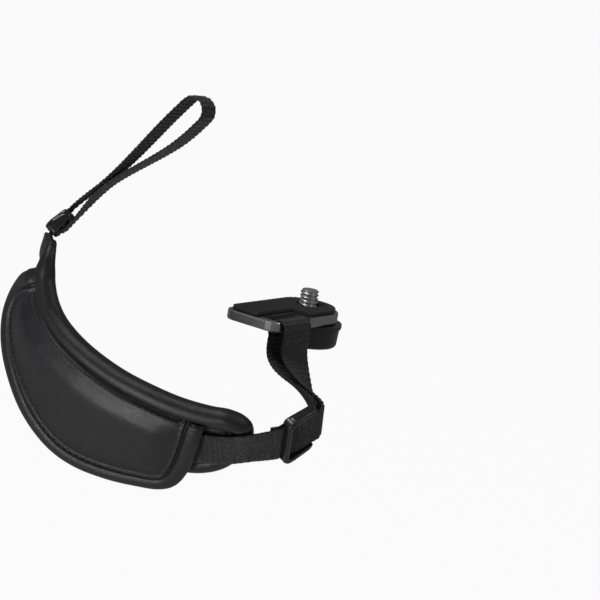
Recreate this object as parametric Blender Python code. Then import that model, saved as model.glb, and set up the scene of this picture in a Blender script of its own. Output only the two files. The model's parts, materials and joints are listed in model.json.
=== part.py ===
# Camera hand grip strap: a padded leather back-of-hand pad on woven webbing, with a
# base plate that screws to a tripod socket and a webbing loop for a strap ring.
# The frame's origin is on the base plate's seat, +Z points out of the seat along the
# screw and -X runs along the plate to its slotted end. Lengths are in metres.
import math
import bpy
import bmesh
import numpy as np
from mathutils import Matrix

MM = 0.001

# Running gap between pieces that touch.
GAP = 0.3 * MM

# The loop that the worn strap makes: an elliptical cylinder that the flat pattern is wrapped on.
LOOP_CENTRE = np.array([-40.2, 12.2, -8.6]) * MM
LOOP_HALF_WIDTH = 55.0 * MM
LOOP_HALF_DEPTH = 30.0 * MM
LOOP_AXIS = np.array([-0.353, -0.577, 0.737])
ACROSS_HINT = np.array([0.409, -0.803, -0.433])
PATTERN_ZERO = math.radians(112)

# Layers of the pad and flap, from the outside in.
FLAP_LEATHER = 0.9 * MM
FLAP_LINING = 0.6 * MM
WEB_THICK = 1.0 * MM
PAD_COVER = 0.8 * MM
PAD_FOAM = 2.0 * MM
PAD_LINING = 0.6 * MM

# Rolled edges. A rim is wrapped round a cord, and the sheets are sewn to its inner side.
PAD_RIM_HALF = 3.2 * MM
PAD_RIM_PROUD = -0.8 * MM
FLAP_RIM_HALF = 2.7 * MM
FLAP_RIM_THICK = 2.8 * MM
FLAP_RIM_RISE = 1.0 * MM
SEAM_OFFSET = 1.6 * MM
LINING_SEAM_OFFSET = 3.1 * MM
LOW_RIM_FROM = 58.5 * MM
RIM_BLEND = 3.0 * MM
RIM_UPPER_BAND = 6.0 * MM

# The tongue at the pad's left end, where the rim widens into a sleeve round the upper webbing.
TONGUE_WALL = 0.8 * MM
POCKET_PLAY = 0.45 * MM
TONGUE_POCKET = 6.5 * MM
TONGUE_WEB_SHORT = 1.6 * MM
TONGUE_STRAIGHT = 4.0 * MM
TONGUE_TAPER = 14.0 * MM
TONGUE_BELLY = 1.6 * MM

# Flat pattern of the pad's rim, along its middle line: (along, across) in millimetres.
PAD_KNUCKLE_EDGE = [(-48.2, -0.6), (-46.2, -1.8), (-43.6, -2.3), (-40.5, -1.9), (-37.0, -1.2), (-33.0, -2.2),
                    (-28.5, -4.8), (-21.5, -7.6), (-14, -8.8), (-5, -8.4), (4, -7.2), (14, -5.4), (24, -3.0),
                    (35, -0.4), (45, 2.6), (51, 4.6), (56.5, 3.4)]
PAD_WRIST_EDGE = [(60.2, -3.0), (61.0, -11.0), (59.0, -19.0), (54.0, -24.5), (46.0, -28.5), (36.0, -32.5),
                  (24.0, -37.5), (12.0, -40.5), (0.0, -39.5), (-12.0, -34.5), (-22.0, -27.5), (-29.5, -20.5),
                  (-34.8, -14.6), (-36.6, -10.4)]

# Flat pattern of the flap's rolled edge, along its middle line, from the upper left round to the right.
FLAP_EDGE = [(-33.2, -8.0), (-36.2, -14.0), (-36.6, -22.0), (-33.8, -29.0), (-27.0, -35.2), (-17.2, -41.2),
             (-6.0, -46.8), (6.0, -49.6), (16.0, -48.7), (27.0, -44.4), (36.3, -39.6), (43.0, -35.8),
             (46.0, -31.0), (46.3, -22.0), (44.4, -10.0), (43.0, -3.0)]

# Webbing and its sliders.
LOWER_WEB_WIDTH = 15.0 * MM
UPPER_WEB_WIDTH = 8.0 * MM
LOWER_WEB_ROUTE = [(8, -27), (20, -22.5), (32, -18), (42, -14.8), (50, -12), (57, -8.8), (63, -5)]
WEB_TAIL = 5.0 * MM
LOWER_SLIDER_LENGTH = 13.0 * MM
UPPER_SLIDER_LENGTH = 9.0 * MM
SLIDER_WALL = 2.0 * MM
SLIDER_SIDE_PLAY = 0.7 * MM
SLIDER_BAR = 2.0 * MM
SLIDER_MIDDLE_BAR = 1.6 * MM
SLIDER_FRONT_HEIGHT = 1.9 * MM
SLIDER_TAPER = 0.7 * MM
SLIDER_KNEE_SHARE = 0.35
SLIDER_EDGE = 0.55 * MM
SLIDER_BAR_HEIGHT = 1.5 * MM
SLIDER_WEB_RISE = 1.0 * MM
SLIDER_RUN_IN = 1.5 * MM
LOWER_SLIDER_PLACE = np.array([-23.5, -27.2, -32.9]) * MM
LOWER_SLIDER_RUN = np.array([0.859, -0.266, 0.437])
LOWER_SLIDER_WIDTH = np.array([-0.504, -0.307, 0.81])
UPPER_SLIDER_GAP = 1.3 * MM
UPPER_SLIDER_TILT = math.radians(7)

# The loop for a strap ring.
RING_LOOP = np.array([-50.0, 13.0, 64.0]) * MM
RING_LOOP_RUN = np.array([0.1, -0.62, 0.78])
RING_LOOP_WIDTH = np.array([1.0, 0.0, 0.0])
RING_LOOP_GAP = 7.5 * MM
RING_LOOP_STRAIGHT = 2.0 * MM

# How the webbing bends between a slider and the bar that it turns round.
FREE_RUN_START = 0.45
FREE_RUN_END = 0.9
FREE_RUN_STATIONS = 8
LAYERS_MEET = 0.4
LAYERS_PART = 0.35

# Base plate, its seat pad and the captive tripod screw.
PLATE_DIRECTION = np.array([-1.0, 0.0, 0.0])
SCREW_FROM_ORIGIN = 12.0 * MM
SLOT_FROM_SCREW = 22.0 * MM
SLOT_OPENING = 4.4 * MM
SLOT_END_PLAY = 1.0 * MM
SLOT_END_WALL = 2.8 * MM
SLOT_BAR = 3.0 * MM
SEAT_PAD_THICK = 0.9 * MM
SEAT_PAD_INSET = 1.2 * MM
PLATE_THICK = 3.4 * MM
PLATE_HALF_WIDTH = 10.5 * MM
PLATE_CORNER = 4.0 * MM
PLATE_EDGE = 0.5 * MM
BAR_RECESS = 1.4 * MM
SCREW_THREAD_R = 3.1 * MM
SCREW_ABOVE_SEAT = 5.0 * MM
SCREW_PLAY = 0.4 * MM
SCREW_NECK_R = 2.3 * MM
SCREW_CHAMFER = 0.6 * MM
RING_OUTER_R = 5.0 * MM
RING_THICK = 0.8 * MM
RING_POCKET_DEPTH = 1.5 * MM
KNOB_FLANGE_R = 12.3 * MM
KNOB_FLANGE_THICK = 1.6 * MM
KNOB_TOP_R = 11.8 * MM
KNOB_BOTTOM_R = 11.5 * MM
KNOB_HEIGHT = 8.0 * MM
KNOB_ROUND = 1.4 * MM
COIN_SLOT_WIDTH = 2.0 * MM
COIN_SLOT_DEPTH = 1.6 * MM
COIN_SLOT_LENGTH = 15.0 * MM

# Fineness of the meshes.
RIM_STATIONS = 84
RIM_FINENESS = 4
RIM_SIDES = 12
SHEET_STATIONS = 34
SHEET_ROWS = 4
WEB_STEP = 1.6 * MM
TONGUE_SQUARENESS = 1.6
SHEET_END_ROOM = 0.25 * MM
SHEET_CROWDING = 0.7
CUT_PAST = 3.0 * MM
FLAP_SEAM_ROOM = 0.1 * MM
POCKET_SQUARENESS = 6.0
ROUND_SIDES = 40
CURVE_FINENESS = 24
SEAM_STATIONS = 80
TURN_STATIONS = 9
HEAD_STATIONS = 21
CORNER_STATIONS = 7
KNOB_ROUND_STATIONS = 5
BEVEL_SEGMENTS = 2


def unit(vector):
    return vector / np.linalg.norm(vector)


LOOP_AXIS = unit(LOOP_AXIS)
ACROSS = unit(ACROSS_HINT - LOOP_AXIS * (ACROSS_HINT @ LOOP_AXIS))
OUTWARD = np.cross(ACROSS, LOOP_AXIS)

# Depths of the layers' faces, measured outwards from the flap's outer face.
WEB_TOP = -(FLAP_LEATHER + GAP + FLAP_LINING + GAP)
WEB_MIDDLE = WEB_TOP - WEB_THICK / 2
COVER_TOP = WEB_TOP - WEB_THICK - GAP
FOAM_TOP = COVER_TOP - PAD_COVER - GAP
LINING_TOP = FOAM_TOP - PAD_FOAM - GAP
PAD_BOTTOM = LINING_TOP - PAD_LINING
TONGUE_HALF_WIDTH = UPPER_WEB_WIDTH / 2 + POCKET_PLAY + TONGUE_WALL
TONGUE_HALF_THICK = WEB_THICK / 2 + POCKET_PLAY + TONGUE_WALL

# Heights of the base plate and of the screw's parts.
PLATE_TOP = -SEAT_PAD_THICK - GAP
PLATE_BOTTOM = PLATE_TOP - PLATE_THICK
KNOB_TOP = PLATE_BOTTOM - GAP
ALONG_PLATE = unit(PLATE_DIRECTION)
ACROSS_PLATE = np.cross(ALONG_PLATE, [0.0, 0.0, -1.0])
SCREW_PLACE = -SCREW_FROM_ORIGIN * ALONG_PLATE
SLOT_LENGTH = LOWER_WEB_WIDTH + 2 * SLOT_END_PLAY
BAR_INNER = PLATE_HALF_WIDTH - SLOT_BAR
PLATE_END = SLOT_FROM_SCREW + SLOT_LENGTH / 2 + SLOT_END_WALL


def smooth_step(x):
    x = min(max(x, 0.0), 1.0)
    return x * x * (3 - 2 * x)


def arc_tables():
    """Angle round the ellipse against length along it, counted from the pattern's zero."""
    angle = np.linspace(math.radians(-80), math.radians(280), 2881)
    xy = np.stack([LOOP_HALF_WIDTH * np.cos(angle), LOOP_HALF_DEPTH * np.sin(angle)], 1)
    run = np.concatenate([[0.0], np.cumsum(np.linalg.norm(np.diff(xy, axis=0), axis=1))])
    return np.interp(PATTERN_ZERO, angle, run) - run, angle


ARC_LENGTH, ARC_ANGLE = arc_tables()


def wrap(along, across, depth):
    """A point of the flat pattern, laid on the loop at a depth below the flap's face."""
    angle = float(np.interp(-along, -ARC_LENGTH, ARC_ANGLE))
    x = LOOP_HALF_WIDTH * math.cos(angle)
    y = LOOP_HALF_DEPTH * math.sin(angle)
    normal = unit(np.array([LOOP_HALF_DEPTH * math.cos(angle), LOOP_HALF_WIDTH * math.sin(angle)]))
    x += depth * normal[0]
    y += depth * normal[1]
    return LOOP_CENTRE + x * ACROSS + y * OUTWARD + across * LOOP_AXIS


def curve_through(points, step_count):
    """Evenly spaced points on a smooth curve through the given points."""
    pts = np.array(points, float)
    pad = np.vstack([2 * pts[0] - pts[1], pts, 2 * pts[-1] - pts[-2]])
    fine = []
    for i in range(len(pts) - 1):
        a, b, c, d = pad[i:i + 4]
        for u in np.linspace(0, 1, CURVE_FINENESS, endpoint=False):
            fine.append(0.5 * (2 * b + (c - a) * u + (2 * a - 5 * b + 4 * c - d) * u ** 2
                               + (3 * b - a - 3 * c + d) * u ** 3))
    fine.append(pts[-1])
    fine = np.array(fine)
    run = np.concatenate([[0.0], np.cumsum(np.linalg.norm(np.diff(fine, axis=0), axis=1))])
    at = np.linspace(0, run[-1], step_count + 1)
    return np.stack([np.interp(at, run, fine[:, k]) for k in range(pts.shape[1])], 1)


def side_directions(points):
    """Unit vectors at right angles to a pattern curve, to its left."""
    run = np.gradient(points, axis=0)
    run /= np.linalg.norm(run, axis=1)[:, None]
    return np.stack([-run[:, 1], run[:, 0]], 1)


RIM_CURVE = curve_through(np.array(PAD_KNUCKLE_EDGE + PAD_WRIST_EDGE) * MM, RIM_STATIONS * RIM_FINENESS)
RIM_SIDE = side_directions(RIM_CURVE)
KNUCKLE_CURVE = RIM_CURVE[:int(np.argmax(RIM_CURVE[:, 0]))]


def material(name, colour, roughness, metallic=0.0):
    mat = bpy.data.materials.new(name)
    mat.use_nodes = True
    shader = mat.node_tree.nodes["Principled BSDF"]
    shader.inputs["Base Color"].default_value = (*colour, 1.0)
    shader.inputs["Roughness"].default_value = roughness
    shader.inputs["Metallic"].default_value = metallic
    return mat


def add_mesh(name, verts, faces, mat, smooth=True):
    mesh = bpy.data.meshes.new(name)
    mesh.from_pydata([tuple(v) for v in verts], [], faces)
    bm = bmesh.new()
    bm.from_mesh(mesh)
    bmesh.ops.recalc_face_normals(bm, faces=bm.faces)
    bm.to_mesh(mesh)
    bm.free()
    obj = bpy.data.objects.new(name, mesh)
    bpy.context.collection.objects.link(obj)
    if mat:
        mesh.materials.append(mat)
    if smooth:
        mesh.shade_smooth()
        mesh.set_sharp_from_angle(angle=math.radians(35))
    return obj


def swept_rings(rings):
    """Points and faces of a tube through equal rings of points, with its ends filled."""
    count = len(rings)
    sides = len(rings[0])
    faces = []
    for i in range(count - 1):
        j = i + 1
        for k in range(sides):
            m = (k + 1) % sides
            faces.append((i * sides + k, i * sides + m, j * sides + m, j * sides + k))
    faces.append(tuple(range(sides)))
    faces.append(tuple((count - 1) * sides + k for k in range(sides)))
    return [p for ring in rings for p in ring], faces


def from_tip(point):
    """Length along the pattern from the tongue's tip."""
    return float(point[0] - KNUCKLE_CURVE[0, 0])


def tongue_count(length):
    """How many fine stations of the rim's line lie within a length from the tip."""
    return int(np.sum(KNUCKLE_CURVE[:, 0] < KNUCKLE_CURVE[0, 0] + length))


def towards_tip(point):
    """0 on the pad's body, rising to 1 at the tip of its left tongue."""
    return 1 - smooth_step((from_tip(point) - TONGUE_STRAIGHT) / TONGUE_TAPER)


def rim_half_width(point):
    """The rim's half width, wider along the tongue on the knuckle side."""
    if is_upper(point) < 0.5:
        return PAD_RIM_HALF
    taper_end = TONGUE_STRAIGHT + TONGUE_TAPER
    belly = TONGUE_BELLY * math.sin(math.pi * min(max(from_tip(point) / taper_end, 0.0), 1.0)) ** 2
    return PAD_RIM_HALF + (TONGUE_HALF_WIDTH - PAD_RIM_HALF) * towards_tip(point) + belly


def knuckle_line(along):
    """Height across the pattern of the pad rim's middle on the knuckle side."""
    return float(np.interp(along, KNUCKLE_CURVE[:, 0], KNUCKLE_CURVE[:, 1]))


def is_upper(point):
    """1 on the rim's knuckle side, falling to 0 towards its wrist side."""
    return smooth_step((point[1] - knuckle_line(point[0]) + RIM_UPPER_BAND) / RIM_BLEND)


def rim_levels(point):
    """Depths of the rim's top and bottom: proud beside the flap, low where webbing or the flap crosses."""
    right = smooth_step((LOW_RIM_FROM - point[0]) / RIM_BLEND)
    upper = is_upper(point)
    top = COVER_TOP + (PAD_RIM_PROUD - COVER_TOP) * right * upper
    share = towards_tip(point) if upper > 0.5 else 0.0
    top += (WEB_MIDDLE + TONGUE_HALF_THICK - top) * share
    bottom = PAD_BOTTOM + (WEB_MIDDLE - TONGUE_HALF_THICK - PAD_BOTTOM) * share
    return top, bottom


def rim_ring(point, out, half, top, bottom, square):
    """One section of a rim: an ellipse, or nearly a rectangle where square is above 1."""
    ring = []
    for k in range(RIM_SIDES):
        turn = 2 * math.pi * k / RIM_SIDES
        side = math.copysign(abs(math.cos(turn)) ** (1 / square), math.cos(turn))
        height = math.copysign(abs(math.sin(turn)) ** (1 / square), math.sin(turn))
        across = point + out * half * side
        ring.append(wrap(across[0], across[1], (top + bottom) / 2 + (top - bottom) / 2 * height))
    return ring


def build_pad_rim(mat):
    line = RIM_CURVE[::RIM_FINENESS]
    side = RIM_SIDE[::RIM_FINENESS]
    rings = []
    inner_half = UPPER_WEB_WIDTH / 2 + POCKET_PLAY
    inner_thick = WEB_THICK / 2 + POCKET_PLAY
    for k in reversed(range(tongue_count(TONGUE_POCKET))):
        point = RIM_CURVE[k]
        out = RIM_SIDE[k]
        rings.append(rim_ring(point, out, inner_half, WEB_MIDDLE + inner_thick, WEB_MIDDLE - inner_thick,
                              POCKET_SQUARENESS))
    for point, out in zip(line, side):
        top, bottom = rim_levels(point)
        square = 1 + (TONGUE_SQUARENESS - 1) * towards_tip(point) * is_upper(point)
        rings.append(rim_ring(point, out, rim_half_width(point), top, bottom, square))
    verts, faces = swept_rings(rings)
    return add_mesh("pad_rim", verts, faces, mat)


def build_sheet(name, upper, lower, top, bottom, mat, edge_room):
    """A sheet between two pattern curves, laid on the loop between two depths."""
    start = max(upper[0, 0], lower[0, 0]) + edge_room
    end = min(upper[-1, 0], lower[-1, 0]) - edge_room
    even = np.linspace(start, end, SHEET_STATIONS)
    crowded = (start + end) / 2 - (end - start) / 2 * np.cos(np.linspace(0, math.pi, SHEET_STATIONS))
    stations = SHEET_CROWDING * crowded + (1 - SHEET_CROWDING) * even
    high = np.interp(stations, upper[:, 0], upper[:, 1])
    low = np.interp(stations, lower[:, 0], lower[:, 1])
    rings = []
    for along, a, b in zip(stations, low, high):
        row = np.linspace(a, b, SHEET_ROWS + 1)
        ring = [wrap(along, across, top) for across in row]
        ring += [wrap(along, across, bottom) for across in row[::-1]]
        rings.append(ring)
    sides = 2 * (SHEET_ROWS + 1)
    verts, faces = swept_rings(rings)
    faces = faces[:-2]
    for end_ring in (0, len(rings) - 1):
        base = end_ring * sides
        for k in range(SHEET_ROWS):
            faces.append((base + k, base + k + 1, base + sides - 2 - k, base + sides - 1 - k))
    return add_mesh(name, verts, faces, mat)


def build_pad_sheets(leather, foam, lining):
    line = RIM_CURVE[::RIM_FINENESS]
    inset = np.array([rim_half_width(p) for p in line]) + GAP
    inner = line - RIM_SIDE[::RIM_FINENESS] * inset[:, None]
    right = int(np.argmax(inner[:, 0]))
    upper = inner[:right + 1]
    lower = inner[right:][::-1]
    lower = lower[int(np.argmin(lower[:, 0])):]
    build_sheet("pad_cover", upper, lower, COVER_TOP, COVER_TOP - PAD_COVER, leather, SHEET_END_ROOM)
    build_sheet("pad_foam", upper, lower, FOAM_TOP, FOAM_TOP - PAD_FOAM, foam, SHEET_END_ROOM)
    build_sheet("pad_lining", upper, lower, LINING_TOP, PAD_BOTTOM, lining, SHEET_END_ROOM)


def flap_edge_line():
    return curve_through(np.array(FLAP_EDGE) * MM, RIM_STATIONS)


def build_flap_rim(mat):
    line = flap_edge_line()
    side = side_directions(line)
    middle = FLAP_RIM_RISE - FLAP_RIM_THICK / 2
    rings = []
    for point, out in zip(line, side):
        ring = []
        for k in range(RIM_SIDES):
            turn = 2 * math.pi * k / RIM_SIDES
            across = point + out * FLAP_RIM_HALF * math.cos(turn)
            ring.append(wrap(across[0], across[1], middle + FLAP_RIM_THICK / 2 * math.sin(turn)))
        rings.append(ring)
    verts, faces = swept_rings(rings)
    return add_mesh("flap_rim", verts, faces, mat)


def build_flap_sheets(leather, lining):
    line = flap_edge_line()
    side = side_directions(line)
    inner = line + side * (FLAP_RIM_HALF + GAP + FLAP_SEAM_ROOM)
    left = int(np.argmin(inner[:, 0]))
    right = int(np.argmax(inner[:, 0]))
    lower = inner[left:right + 1]
    for name, seam, top, thick, mat in (
            ("flap_leather", SEAM_OFFSET, 0.0, FLAP_LEATHER, leather),
            ("flap_lining", LINING_SEAM_OFFSET, -FLAP_LEATHER - GAP, FLAP_LINING, lining)):
        left_side = inner[:left + 1][::-1]
        right_side = inner[right:]
        along = np.linspace(lower[0, 0], lower[-1, 0], SEAM_STATIONS)
        seam_line = np.array([knuckle_line(x) - seam for x in along])
        high = np.minimum(seam_line, np.interp(along, left_side[:, 0], left_side[:, 1], right=1.0))
        high = np.minimum(high, np.interp(along, right_side[::-1, 0], right_side[::-1, 1], left=1.0))
        upper = np.stack([along, high], 1)
        build_sheet(name, upper, lower, top, top - thick, mat, SHEET_END_ROOM)


def route_points(line, side, depth):
    """Places and width directions of webbing that lies on the loop along a pattern curve."""
    places = [wrap(p[0], p[1], depth) for p in line]
    widths = [unit(wrap(*(p + q * MM), depth) - wrap(*(p - q * MM), depth)) for p, q in zip(line, side)]
    return places, widths


def slider_levels():
    """Heights in a slider of its bars and of the two webbing layers, from the webbing under the front bar."""
    half = WEB_THICK / 2
    bars_top = SLIDER_WEB_RISE - half - GAP
    bars_bottom = bars_top - SLIDER_BAR_HEIGHT
    return {"front_bottom": half + GAP, "front_top": half + GAP + SLIDER_FRONT_HEIGHT, "bars_top": bars_top,
            "bars_bottom": bars_bottom, "over": SLIDER_WEB_RISE, "under": bars_bottom - GAP - half,
            "return": -(WEB_THICK + GAP)}


def webbing_stations(table):
    """Even stations along a route, each with its place, frame and the two layers' heights."""
    length = sum(np.linalg.norm(np.diff(table[:, :3], axis=0), axis=1))
    fine = curve_through(table, int(length / WEB_STEP))
    place = fine[:, :3]
    run = np.gradient(place, axis=0)
    run /= np.linalg.norm(run, axis=1)[:, None]
    width = fine[:, 3:6]
    width = width - run * np.sum(width * run, axis=1)[:, None]
    width /= np.linalg.norm(width, axis=1)[:, None]
    return place, run, width, np.cross(run, width), fine[:, 6], fine[:, 7]


def free_run(start, start_run, end, end_run, count):
    """A smooth line from a slider to the end of the webbing, bending most just after the slider."""
    reach = np.linalg.norm(end - start)
    a = start_run * reach * FREE_RUN_START
    b = end_run * reach * FREE_RUN_END
    points = []
    for u in np.linspace(0, 1, count + 1)[1:]:
        points.append((2 * u ** 3 - 3 * u ** 2 + 1) * start + (u ** 3 - 2 * u ** 2 + u) * a
                      + (3 * u ** 2 - 2 * u ** 3) * end + (u ** 3 - u ** 2) * b)
    return points


def build_webbing(name, places, widths, frame, length, bar, bar_run, bar_width, straight, reach, tail_length,
                  web_width, mat):
    """Webbing that runs along the pad, through a slider, round a bar and back to its tail."""
    level = slider_levels()
    run_in = -length / 2 - SLIDER_RUN_IN - WEB_THICK
    rows = [(p, w, 0.0, level["return"]) for p, w in zip(places, widths) if (p - frame[0]) @ frame[1] < run_in]
    rows += [(p, frame[2], a, b) for p, a, b in slider_stations(frame, length)]
    start = rows[-1][0]
    foot = bar - bar_run * (straight + reach)
    count = FREE_RUN_STATIONS
    near = (WEB_THICK + GAP) / 2
    for k, point in enumerate(free_run(start, frame[1], foot, bar_run, count)):
        u = (k + 1) / count
        turn = smooth_step(u)
        width = unit(frame[2] * (1 - turn) + bar_width * turn)
        settle = smooth_step(u / LAYERS_MEET)
        spread = near + (reach - near) * smooth_step((u - LAYERS_PART) / (1 - LAYERS_PART))
        rows.append((point, width, level["over"] * (1 - settle) + spread * settle,
                     level["under"] * (1 - settle) - spread * settle))
    rows.append((bar, bar_width, reach, -reach))
    table = np.array([np.concatenate([p, w * 10 * MM, [a, b]]) for p, w, a, b in rows])
    place, run, width, normal, high, low = webbing_stations(table)
    tail_from = frame[0] - frame[1] * (length / 2 + tail_length)
    tail = int(np.argmin(np.linalg.norm(place - tail_from, axis=1)))
    path = [(p + n * h, w) for p, n, w, h in zip(place, normal, width, high)]
    path += turn_round_bar(bar, bar_run, bar_width, reach)
    path += [(p + n * h, w) for p, n, w, h in zip(place[tail:], normal[tail:], width[tail:], low[tail:])][::-1]
    centre = np.array([p for p, _ in path])
    along = np.gradient(centre, axis=0)
    rings = []
    for (point, across), step in zip(path, along):
        step = unit(step)
        across = unit(across - step * (across @ step))
        face = np.cross(step, across)
        a = across * web_width / 2
        b = face * WEB_THICK / 2
        rings.append([point - a - b, point + a - b, point + a + b, point - a + b])
    verts, faces = swept_rings(rings)
    return add_mesh(name, verts, faces, mat, smooth=False)


def slider_frame(place, run, width):
    run = unit(run)
    width = unit(width - run * (width @ run))
    return place, run, width, np.cross(run, width)


def build_slider(name, frame, length, web_width, mat):
    """A three-bar slider: a raised front bar, and low middle and far bars under the webbing."""
    place, run, width, normal = frame
    level = slider_levels()
    inner = web_width / 2 + SLIDER_SIDE_PLAY
    outer = inner + SLIDER_WALL
    half = length / 2
    far_top = level["front_top"] - SLIDER_TAPER
    knee = half * SLIDER_KNEE_SHARE
    profile = [(-half, level["bars_bottom"]), (half, level["bars_bottom"]), (half, far_top),
               (-knee, level["front_top"]), (-half, level["front_top"])]
    rings = [[(x, side * outer, z) for x, z in profile] for side in (-1, 1)]
    verts, faces = swept_rings(rings)
    turn = Matrix([(*[run[k], width[k], normal[k], place[k]],) for k in range(3)] + [(0, 0, 0, 1)])
    body = add_mesh(name, verts, faces, mat)
    bevel = body.modifiers.new("round_edges", "BEVEL")
    bevel.width = SLIDER_EDGE
    bevel.segments = BEVEL_SEGMENTS
    bevel.limit_method = "ANGLE"
    window_front = -half + SLIDER_BAR
    middle_front = -SLIDER_MIDDLE_BAR / 2
    past = CUT_PAST
    low = level["bars_bottom"] - past
    high = level["front_top"] + past
    cuts = [("under_front", -half - past, middle_front, low, level["front_bottom"]),
            ("front_window", window_front, middle_front, low, high),
            ("over_bars", window_front, half + past, level["bars_top"], high),
            ("far_window", -middle_front, half - SLIDER_BAR, low, high)]
    for cut, x0, x1, z0, z1 in cuts:
        tool = box_tool(name + "_" + cut, (x0, -inner, z0), (x1, inner, z1))
        tool.parent = body
        cut_with(body, tool)
    body.matrix_world = turn
    return body


def box_tool(name, low, high):
    corners = [(x, y, z) for x in (low[0], high[0]) for y in (low[1], high[1]) for z in (low[2], high[2])]
    faces = [(0, 1, 3, 2), (4, 6, 7, 5), (0, 4, 5, 1), (2, 3, 7, 6), (0, 2, 6, 4), (1, 5, 7, 3)]
    tool = add_mesh(name, corners, faces, None, smooth=False)
    tool.hide_render = True
    tool.display_type = "WIRE"
    return tool


def cut_with(body, tool):
    cut = body.modifiers.new(tool.name, "BOOLEAN")
    cut.operation = "DIFFERENCE"
    cut.solver = "EXACT"
    cut.object = tool


def turned(name, profile, mat, sides=ROUND_SIDES):
    """A turned solid from (radius, height) pairs that start and end on the axis, or run in a ring."""
    ring = profile[0][0] > 0
    loops = []
    verts = []
    faces = []
    for radius, height in profile:
        if radius == 0:
            loops.append([len(verts)])
            verts.append((0, 0, height))
            continue
        loops.append(list(range(len(verts), len(verts) + sides)))
        for k in range(sides):
            turn = 2 * math.pi * k / sides
            verts.append((radius * math.cos(turn), radius * math.sin(turn), height))
    pairs = list(zip(loops, loops[1:] + loops[:1] if ring else loops[1:]))
    for a, b in pairs:
        for k in range(sides):
            m = (k + 1) % sides
            corners = [a[k % len(a)], a[m % len(a)], b[m % len(b)], b[k % len(b)]]
            faces.append(tuple(dict.fromkeys(corners)))
    return add_mesh(name, verts, faces, mat)


def plate_frame():
    """The base plate's own frame: X along it from the screw, Y across it, Z up."""
    return Matrix([(ALONG_PLATE[k], ACROSS_PLATE[k], (0, 0, 1)[k], SCREW_PLACE[k]) for k in range(3)]
                  + [(0, 0, 0, 1)])


def plate_outline(inset, end):
    """Round about the screw, with straight sides and rounded corners at the slot's end."""
    half = PLATE_HALF_WIDTH - inset
    corner = PLATE_CORNER - inset / 2
    points = []
    for turn in np.linspace(90, 270, HEAD_STATIONS):
        points.append((half * math.cos(math.radians(turn)), half * math.sin(math.radians(turn))))
    for side in (-1, 1):
        centre = (end - corner, side * (half - corner))
        start = -90 if side < 0 else 0
        for turn in np.linspace(start, start + 90, CORNER_STATIONS):
            points.append((centre[0] + corner * math.cos(math.radians(turn)),
                           centre[1] + corner * math.sin(math.radians(turn))))
    return points


def prism(name, outline, low, high, mat, edge):
    count = len(outline)
    verts = [(x, y, low) for x, y in outline] + [(x, y, high) for x, y in outline]
    faces = [tuple(range(count)), tuple(range(count, 2 * count))]
    faces += [(k, (k + 1) % count, count + (k + 1) % count, count + k) for k in range(count)]
    obj = add_mesh(name, verts, faces, mat)
    if edge:
        bevel = obj.modifiers.new("round_edges", "BEVEL")
        bevel.width = edge
        bevel.segments = BEVEL_SEGMENTS
        bevel.limit_method = "ANGLE"
        bevel.angle_limit = math.radians(50)
    return obj


def round_tool(name, radius, low, high):
    tool = turned(name, [(0, high), (radius, high), (radius, low), (0, low)], None, ROUND_SIDES)
    tool.hide_render = True
    tool.display_type = "WIRE"
    return tool


def build_base(plate_mat, rubber):
    frame = plate_frame()
    past = CUT_PAST
    plate = prism("base_plate", plate_outline(0, PLATE_END), PLATE_BOTTOM, PLATE_TOP, plate_mat, PLATE_EDGE)
    hole = round_tool("plate_hole", SCREW_THREAD_R + SCREW_PLAY, PLATE_BOTTOM - past, PLATE_TOP + past)
    pocket = round_tool("plate_pocket", RING_OUTER_R + SCREW_PLAY, PLATE_TOP - RING_POCKET_DEPTH,
                        PLATE_TOP + past)
    slot_low = SLOT_FROM_SCREW - SLOT_LENGTH / 2
    slot_high = SLOT_FROM_SCREW + SLOT_LENGTH / 2
    slot = box_tool("plate_slot", (slot_low, BAR_INNER - SLOT_OPENING, PLATE_BOTTOM - past),
                    (slot_high, BAR_INNER, PLATE_TOP + past))
    recess = box_tool("bar_recess", (slot_low, BAR_INNER - past / 2, PLATE_TOP - BAR_RECESS),
                      (slot_high, PLATE_HALF_WIDTH + past, PLATE_TOP + past))
    for tool in (hole, pocket, slot, recess):
        tool.parent = plate
        cut_with(plate, tool)
    plate.matrix_world = frame
    seat = prism("seat_pad", plate_outline(SEAT_PAD_INSET, PLATE_END - SEAT_PAD_INSET), -SEAT_PAD_THICK, 0.0,
                 rubber, 0)
    seat_hole = round_tool("seat_hole", SCREW_THREAD_R + 2 * SCREW_PLAY, -SEAT_PAD_THICK - past, past)
    webbing_room = box_tool("webbing_room", (slot_low - SEAT_PAD_INSET, BAR_INNER - SLOT_OPENING - SEAT_PAD_INSET,
                                             -SEAT_PAD_THICK - past),
                            (PLATE_END + past, PLATE_HALF_WIDTH + past, past))
    for tool in (seat_hole, webbing_room):
        tool.parent = seat
        cut_with(seat, tool)
    seat.matrix_world = frame


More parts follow.
